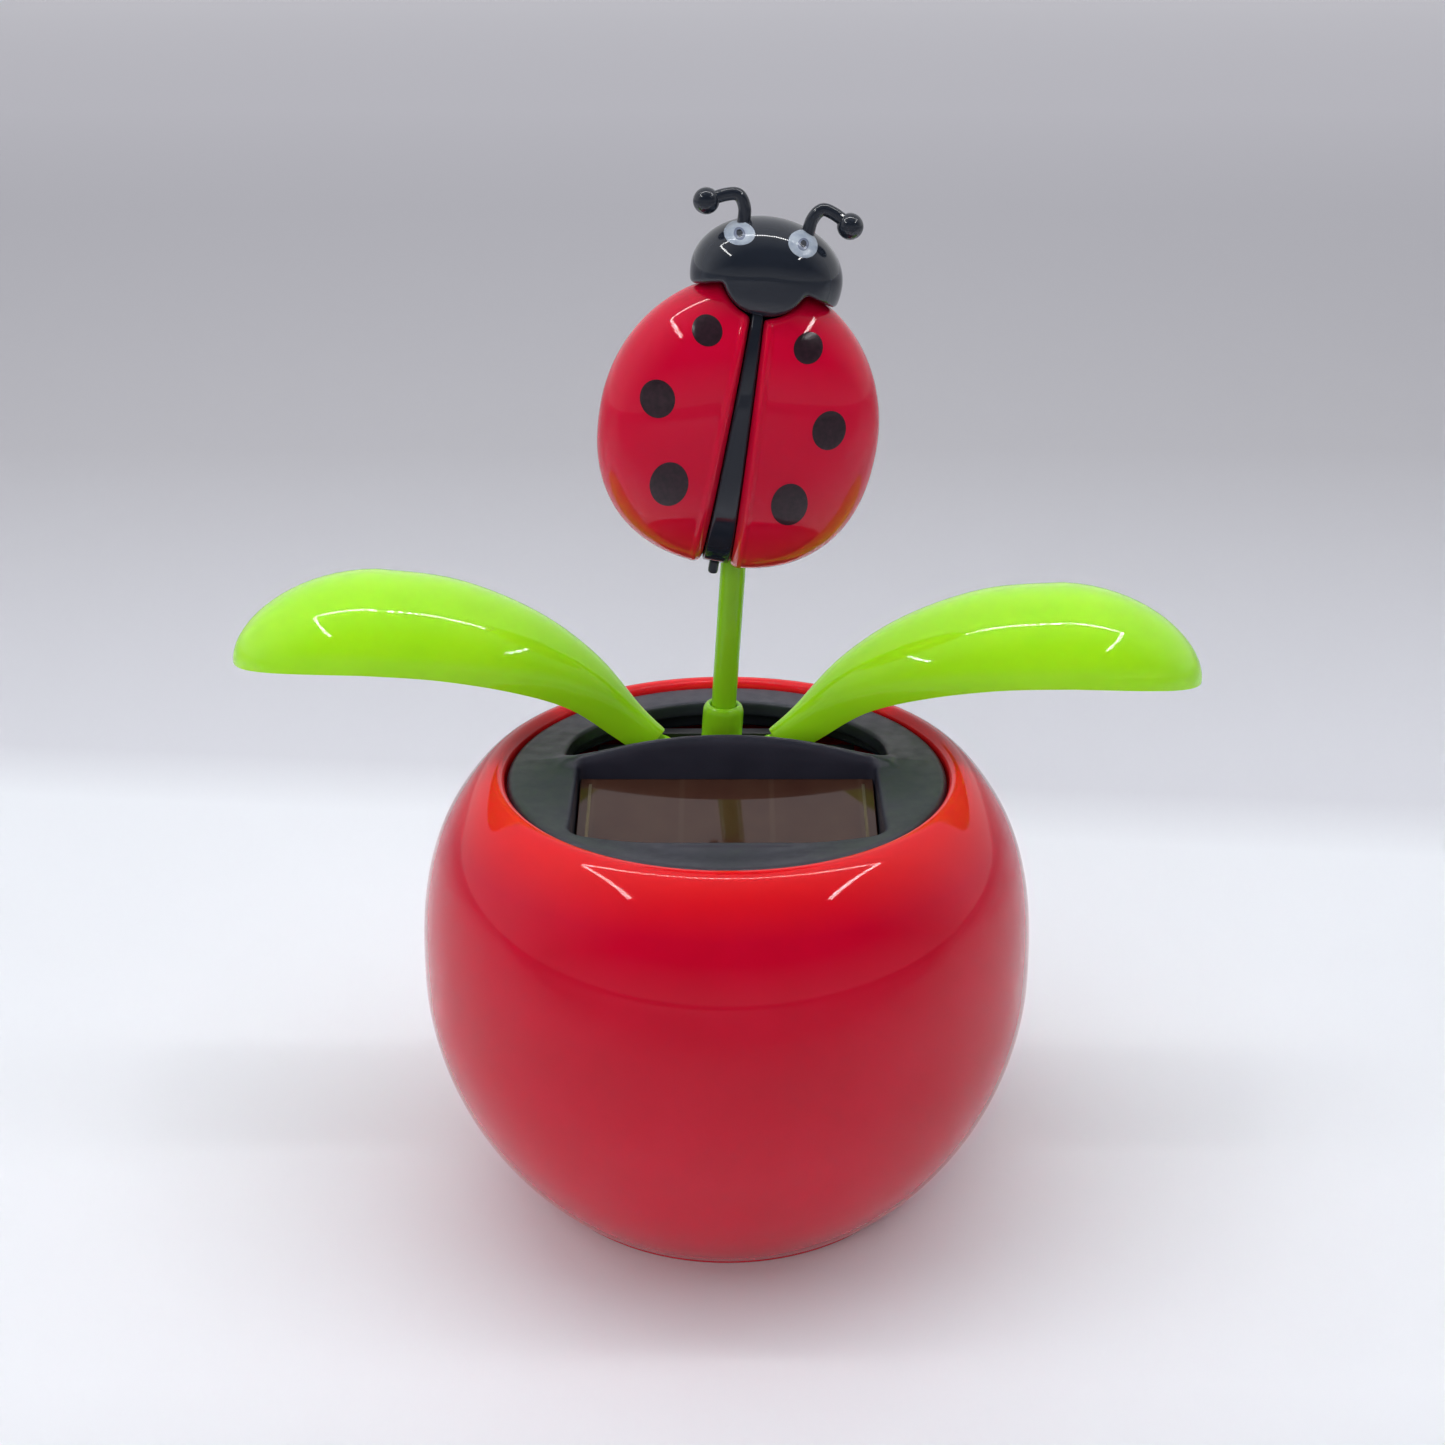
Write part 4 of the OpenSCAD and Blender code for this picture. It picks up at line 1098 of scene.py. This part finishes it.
def leaf_station(t):
    """Place of the open edge, tilt of the section, half width and depth of a right leaf in neutral."""
    z = RIGHT_HINGE.z
    neck, neck_off = math.radians(NECK_ANGLE), 3.7
    widest, top, tip_fall = 37, z + 14.5, 2
    stations = [(HINGE_OUT + neck_off * math.cos(neck), z + neck_off * math.sin(neck), NECK_ANGLE, 1.9, 3.6),
                (11.4, z + 5.3, 50, 2.6, 3.9),
                (16, z + 9.4, 36, LEAF_R * 0.52, LEAF_ARCH * 0.62),
                (22, z + 12.2, 20, LEAF_R * 0.78, LEAF_ARCH * 0.8),
                (29.5, z + 14, 7, LEAF_R * 0.96, LEAF_ARCH * 0.95),
                (widest, top, 0, LEAF_R, LEAF_ARCH)]
    last = len(stations) - 1
    if t <= last:
        return catmull(stations, t)
    # the tip is a quarter of an ellipse, over the last two units of t
    a = math.pi / 2 * (t - last) / 2
    return np.array([widest + (LEAF_REACH - widest) * math.sin(a), top - tip_fall * math.sin(a) ** 2, 0,
                     LEAF_R * math.cos(a), LEAF_ARCH * math.cos(a)])


def leaf_up(tilt):
    """Square to a section's open side."""
    a = math.radians(tilt)
    return np.array([-math.sin(a), 0, math.cos(a)])


def leaf_section(t, thin, steps=28):
    """Half-oval section of a leaf, from one open edge over the top to the other."""
    x, z, tilt, w, h = leaf_station(t)
    w, h = max(w - thin, 0.02), max(h - thin, 0.02)
    foot, up = np.array([x, PIVOT.y, z]), leaf_up(tilt)
    turns = [math.pi * (k / steps - 0.5) for k in range(steps + 1)]
    return [foot + np.array([0, w * math.sin(a), 0]) + h * math.cos(a) * up for a in turns]


def leaf_ring(t):
    """Closed section: the outer skin, a lip, the hollow underside and the other lip."""
    x, z, tilt, w, _ = leaf_station(t)
    foot, up = np.array([x, PIVOT.y, z]), leaf_up(tilt)
    outer, inner = leaf_section(t, 0), leaf_section(t, min(LEAF_T, 0.62 * w))
    hollow = float(np.clip((t - 0.8) / 0.35, 0, 1))
    if hollow < 1:  # solid at the neck: the underside is nearly flat there
        flat = [foot + np.array([0, p[1] - PIVOT.y, 0]) + 0.02 * up for p in inner]
        inner = [f * (1 - hollow) + p * hollow for f, p in zip(flat, inner)]

    def lip(first, second):
        """Points of a shallow round lip between the two skins, without its ends."""
        middle, half = (first + second) / 2, (first - second) / 2
        turns = (math.pi * k / 4 for k in range(1, 4))
        return [middle + half * math.cos(b) - up * 0.07 * LEAF_T * math.sin(b) for b in turns]

    return outer + lip(outer[-1], inner[-1]) + inner[::-1] + lip(inner[0], outer[0])


def build_leaf(side, name):
    """A blade as one closed sheet, drawn as the right one and mirrored for the left."""
    rows, end = 56, 7.0
    # rows crowd towards the tip, where the outline turns
    stations = [end * (1 - (1 - k / rows) ** 1.35) for k in range(rows)] + [end - 0.02]
    verts, faces = loft([leaf_ring(t) for t in stations])
    verts = [(PIVOT.x + side * x, y, z) for x, y, z in verts]
    hinge = RIGHT_HINGE if side > 0 else LEFT_HINGE
    mesh = moved((verts, faces), turned(hinge, REST_LEAN * LEAF_SHARE))
    piece(name + "_blade", mesh, name + "_lever", "leaf_green", name, sharp=55)


# ---- inside the pot ----


def rounded(node, name, body, slot, width):
    """A copy of a CAD node with its edges broken, which stands for the node."""
    bm = bmesh.new()
    bm.from_mesh(frame["nodes"][node].data)
    bmesh.ops.remove_doubles(bm, verts=bm.verts, dist=2e-6)
    bmesh.ops.dissolve_limit(bm, angle_limit=math.radians(0.6), use_dissolve_boundaries=False,
                             verts=bm.verts, edges=bm.edges)
    mesh = bpy.data.meshes.new(name)
    bm.to_mesh(mesh)
    bm.free()
    obj = add_object(name, mesh)
    finish_mesh(obj, MATERIALS[slot], 35)
    bevel_edges(obj, width, 2, 35)
    obj.modifiers["edges"].use_clamp_overlap = False
    place(obj, body, slot, node)


def screw_distance(x, y, z, length):
    """A pan head below Z = 0 with a cross recess in its face, and a thread above."""
    r = np.hypot(x, y)
    crown = r * 0.25 - (z + SCREW_HEAD_H)
    head = both(r - SCREW_HEAD_R, both(slab(z, -SCREW_HEAD_H, 0), crown, 0.3), 0.5)
    cross = both(np.minimum(np.abs(x), np.abs(y)) - 0.22, both(r - 1.05, z + SCREW_HEAD_H - 0.75), 0.1)
    head = without(head, cross, 0.12)
    pitch = 0.75
    turn = (z / pitch - np.arctan2(y, x) / (2 * math.pi)) % 1.0
    ridge = 0.2 * np.maximum(0, 1 - np.abs(turn - 0.5) * 3)
    shank = both(r - SCREW_R + 0.2 - ridge, slab(z, -0.2, length), 0.15)
    tip = r - (length - z) * 0.9 - 0.35
    return either(head, both(shank, tip, 0.1), 0.1)


def screws(name, node, length, places):
    """The same screw at every place."""
    half = SCREW_HEAD_R + 0.3
    box = (-half, -half, -SCREW_HEAD_H - 0.3), (half, half, length + 0.3)
    carved(name, lambda x, y, z: screw_distance(x, y, z, length), box, (0.11, 0.2), "root", "steel", node,
           at=places)


def pin(name, node, centre):
    """A hinge pin along Y with chamfered ends."""
    r, y0, y1 = 1.0, FRONT_Y + GAP, REAR_Y + PLATE
    half = (y1 - y0) / 2
    profile = [(0, -half), (r - 0.25, -half), (r, -half + 0.25)]
    profile += [(r, -half + 0.3 + (2 * half - 0.6) * k / 12) for k in range(13)]
    profile += [(r, half - 0.25), (r - 0.25, half), (0, half)]
    where = Matrix.Translation((centre.x, (y0 + y1) / 2, centre.z)) @ Matrix.Rotation(math.pi / 2, 4, "X")
    piece(name, moved(lathe(profile, 40, closed=False), where), "root", "steel", node, sharp=30)


def build_winding():
    """Layers of enamelled wire: the outside shows each turn."""
    low, high = DECK_TOP + 0.9, DECK_TOP + COIL_H - 0.9
    inner, outer = 3.02, COIL_R - 0.7
    wire_r = 0.23
    count = int((high - low) / (2 * wire_r))
    profile = [(inner, low + 0.02), (inner, high - 0.02)]
    for k in reversed(range(count)):
        middle = low + (high - low) * (k + 0.5) / count
        profile += arc(outer - wire_r, middle, wire_r * 0.98, 80, -80, 5)
    piece("winding", lathe(profile, 96, centre=(PIVOT.x, PIVOT.y)), "root", "copper", "coil_winding",
          sharp=50)


def build_capacitor():
    """A sleeved can with a groove near its foot, a rolled rim and a scored metal top."""
    r, h = 3.15, 8.0
    x, y = -4.2, BOARD_Y + 5.4
    side = [(0, 0), (r - 0.3, 0), (r, 0.3), (r, 1.1), (r - 0.3, 1.45), (r, 1.8)]
    side += [(r, 1.9 + (h - 2.3) * k / 8) for k in range(9)]
    side += arc(r - 0.35, h - 0.35, 0.35, 0, 90, 6)
    side += [(r - 0.75, h - 0.02), (r - 0.8, h - 0.25), (0, h - 0.25)]
    can = lathe([(a, BOARD_TOP + z) for a, z in side], 64, (x, y), closed=False)
    piece("capacitor_can", can, "root", "capacitor_sleeve", "capacitor", sharp=35)
    top = r - 0.85

    def scored(px, py, pz):
        cut = both(np.minimum(np.abs(px), np.abs(py)) - 0.12, 0.12 - pz)
        return without(both(np.hypot(px, py) - top, slab(pz, 0, 0.22), 0.08), cut, 0.05)

    box = (-top - 0.2, -top - 0.2, -0.2), (top + 0.2, top + 0.2, 0.4)
    carved("capacitor_top", scored, box, (0.09, 0.09), "root", "capacitor_sleeve", material="steel",
           at=[Matrix.Translation((x, y, BOARD_TOP + h - 0.26))])


def build_blob():
    """A drop of resin: a flat dome that feathers out on the board."""
    foot, rise = 2.8, 1.3
    ball = (foot * foot + rise * rise) / (2 * rise)
    profile = [(0, 0), (foot * 0.9, 0)]
    for k in range(17):
        r = foot * (1 - k / 17)
        profile.append((r * 0.995, math.sqrt(ball * ball - r * r) - ball + rise + 0.02 * (k == 0)))
    profile.append((0, rise))
    drop = lathe([(a, BOARD_TOP + z) for a, z in profile], 48, (3.5, BOARD_Y + 5.2), closed=False)
    piece("resin_blob", drop, "root", "epoxy_black", "chip_blob", sharp=60)


def wire(points, r, steps=10):
    """A round wire through the points, none of it along X."""
    count = (len(points) - 1) * steps
    path = [catmull(points, k / steps) for k in range(count + 1)]
    return tube(path, [r] * (count + 1), 20, (1, 0, 0))


def build_leads():
    """The cell's two leads and the coil's two ends, along the routes that the frame's own tubes take."""
    lead_x, lead_y = 11, -3.5
    route = [(lead_x, lead_y, bed_level(lead_y, CELL_T) - 0.3), (lead_x, lead_y, 38), (10.6, -4.2, 32),
             (9.6, -6, 25), (8.4, -7, 18), (7.6, -7.2, 13), (7.4, -7.2, BOARD_TOP)]
    for side, name in ((1, "lead_red"), (-1, "lead_black")):
        piece(name, wire([(side * x, y, z) for x, y, z in route], 0.4), "root", name, "cell_" + name)
    front = PIVOT.y - COIL_R + 0.7
    board_rear = -4.5
    route = [(1.2, front - 0.35, DECK_TOP + 3.4), (1.6, front - 2.4, DECK_TOP + 4.2),
             (2, board_rear + 0.4, DECK_TOP + 4.4), (2.2, board_rear - 1, BOARD_TOP + 0.8),
             (2.2, board_rear - 1, BOARD_TOP)]
    ends = [wire([(PIVOT.x + side * x, y, z) for x, y, z in route], 0.3) for side in (-1, 1)]
    piece("coil_ends", join_parts(ends), "root", "copper", "coil_leads")


def build_pendulum():
    rounded("counterweight", "weight_block", "rocker", "steel", 0.35)
    r, t = 4.8, 3.0
    low = WEIGHT_TOP - 9.2 - t - PIVOT.z
    profile = [(0, low), (r - 0.3, low), (r, low + 0.3), (r, low + t / 2), (r, low + t - 0.3),
               (r - 0.3, low + t), (0, low + t)]
    piece("magnet_disc", moved(lathe(profile, 72, closed=False), AT_PIVOT), "rocker", "magnet_steel",
          "magnet", sharp=30)


def build_inside():
    rounded("base_plate", "bottom_plate", "root", "pot_red", 0.25)
    # painted shade: the frame and front plate are black for the dark seen down the slot
    rounded("mechanism_frame", "frame", "root", "frame_black", 0.15)
    rounded("front_plate", "bearing_plate", "root", "frame_black", 0.15)
    rounded("coil_bobbin", "bobbin", "root", "bobbin_white", 0.12)
    rounded("circuit_board", "board", "root", "board_green", 0.08)
    for side in ("left", "right"):
        rounded(side + "_crank", "crank_" + side, side + "_leaf_lever", "stem_green", 0.18)
    ring_r, ear_t, plate_x = 13, 2.4, 14
    ring = [Matrix.Rotation(math.radians(a), 4, "Z") @ Matrix.Translation((ring_r, 0, SCREW_HEAD_H))
            for a in (90, 210, 330)]
    screws("screws_base", "base_screws", DECK_TOP - SCREW_HEAD_H - 0.6, ring)
    ears = [Matrix.Translation((side * EAR_X, y, SHELF_TOP - ear_t)) for side in (-1, 1) for y in EAR_YS]
    screws("screws_cover", "cover_screws", ear_t + COVER_BOTTOM - SHELF_TOP - 1.6, ears)
    facing = Matrix.Rotation(-math.pi / 2, 4, "X")
    plate = [Matrix.Translation((side * plate_x, FRONT_Y, PIVOT.z + z)) @ facing
             for side in (-1, 1) for z in (-4.8, 3.6)]
    screws("screws_plate", "front_plate_screws", PLATE + 4, plate)
    pin("pin_rocker", "rocker_pin", PIVOT)
    pin("pin_left", "left_leaf_pin", LEFT_HINGE)
    pin("pin_right", "right_leaf_pin", RIGHT_HINGE)
    build_winding()
    build_capacitor()
    build_blob()
    build_leads()
    build_pendulum()


# ---- stage, light and camera ----


def build_stage():
    """A pale table, with a painted shadow in front of the toy, that turns into a grey-lilac backdrop behind
    it.
    """
    reach = 6000
    table_end, wall_start = 82, 101
    verts = [(-reach, -reach, 0), (reach, -reach, 0), (reach, reach, 0), (-reach, reach, 0)]
    floor = make_mesh("floor", verts, [(0, 1, 2, 3)], None, normals=False)
    pale, painted_shadow = (0.80, 0.825, 0.87), (0.40, 0.40, 0.43)
    m = Nodes("floor_pale", pale, 0.6)
    x, y = m.axis(0), m.axis(1)
    # painted shadow: the table is darker in front of the toy, where its shadow falls, and the wall changes
    # between these distances
    table = m.mix(m.ramp(y, 1.0, 0.0, -150, -40), pale, painted_shadow)
    wall = (0.66, 0.67, 0.72)
    for start, end, color in ((110, 300, (0.56, 0.555, 0.59)), (300, 1100, (0.78, 0.765, 0.815)),
                              (700, 2400, (0.96, 0.94, 0.98))):
        wall = m.mix(m.ramp(y, 0.0, 1.0, start, end), wall, color)
    edge = m.ramp(m.calc("MULTIPLY_ADD", x, 0.1, y), 0.0, 1.0, table_end, wall_start)
    m.set_color(m.mix(edge, table, wall))
    m.shader.inputs["Specular IOR Level"].default_value = 0.1
    floor.data.materials.append(m.material)


def lamp(name, size_mm, power, matrix):
    """A rectangular area lamp that the camera doesn't see."""
    data = bpy.data.lights.new(name, "AREA")
    data.shape = "RECTANGLE"
    data.size, data.size_y = (side * MM for side in size_mm)
    data.energy = power
    obj = add_object(name, data)
    obj.matrix_world = matrix
    obj.visible_camera = False
    return obj


def aimed(place_mm, target_mm, along=(1, 0, 0)):
    """A lamp's matrix: it shines at the target, and its X side runs as near as it can along a direction."""
    z = (Vector(place_mm) - Vector(target_mm)).normalized()
    y = z.cross(Vector(along)).normalized()
    x = y.cross(z)
    turn = Matrix((x, y, z)).transposed().to_4x4()
    return Matrix.Translation(Vector(place_mm) * MM) @ turn


def led_strip(name, start, end, power):
    """A thin strip of separate bright points between two places."""
    width, pitch = 12, 9.0
    start, end = Vector(start), Vector(end)
    length = (end - start).length
    strip = lamp(name, (length, width), power, aimed((start + end) / 2, (0, 0, 60), end - start))
    strip.data.use_nodes = True
    tree = Tree(strip.data.node_tree)
    along = tree.parts(tree.add("ShaderNodeNewGeometry").outputs["Parametric"])[0]
    # the first half of each pitch is bright, the rest faint
    dots = tree.calc("FRACT", tree.calc("MULTIPLY", along, length / pitch))
    emission = next(n for n in strip.data.node_tree.nodes if n.type == "EMISSION")
    tree.link(tree.ramp(dots, 2.2, 0.1, 0.45, 0.55), emission.inputs["Strength"])


def build_world():
    """A pale tent that is dark on the viewer's side, above a pale band at the horizon."""
    world = bpy.data.worlds.new("tent")
    bpy.context.scene.world = world
    world.use_nodes = True
    tree = Tree(world.node_tree)
    x, y, z = tree.parts(tree.add("ShaderNodeTexCoord").outputs["Generated"])
    # a little more of the left side is lit
    side = tree.ramp(tree.calc("MULTIPLY_ADD", x, -0.15, y), 0.03, 0.8, -0.6, 0.1)
    band = tree.ramp(z, 0.5, 0.0, 0.02, 0.36)
    background = world.node_tree.nodes["Background"]
    background.inputs["Color"].default_value = (0.95, 0.96, 1.0, 1)
    tree.link(tree.calc("MAXIMUM", side, band), background.inputs["Strength"])


def build_light():
    """Strips of bright points along three sides of the tent's top, and two soft panels."""
    level = 345
    rear, front = 5, -215
    left, right = -235, 255
    led_strip("strip_rear", (left, rear, level), (right, rear, level), 0.31)
    led_strip("strip_left", (left, rear, level), (left, front, level), 0.15)
    led_strip("strip_right", (right, rear, level), (right, front, level), 0.15)
    for soft in (lamp("top_panel", (500, 400), 0.62, aimed((-120, 220, 620), (0, 0, 40))),
                 lamp("front_fill", (700, 500), 2.9, aimed((-200, -780, 420), (0, 0, 50)))):
        soft.visible_glossy = False


def build_camera():
    data = bpy.data.cameras.new("camera")
    data.sensor_width = 36
    data.lens = 48.57
    data.clip_start, data.clip_end = 0.01, 20
    camera = add_object("camera", data)
    camera.location = (-0.00045, -0.1882, 0.13405)
    camera.rotation_euler = (math.radians(66.65), 0, 0)
    bpy.context.scene.camera = camera


build_pot()
build_cover()
build_cell()
build_wings()
build_back()
build_head()
build_antennae()
build_print()
build_stem()
build_rocker()
build_leaf(-1, "left_leaf")
build_leaf(1, "right_leaf")
build_inside()
build_stage()
build_world()
build_light()
build_camera()
bpy.context.scene.view_settings.view_transform = "Standard"
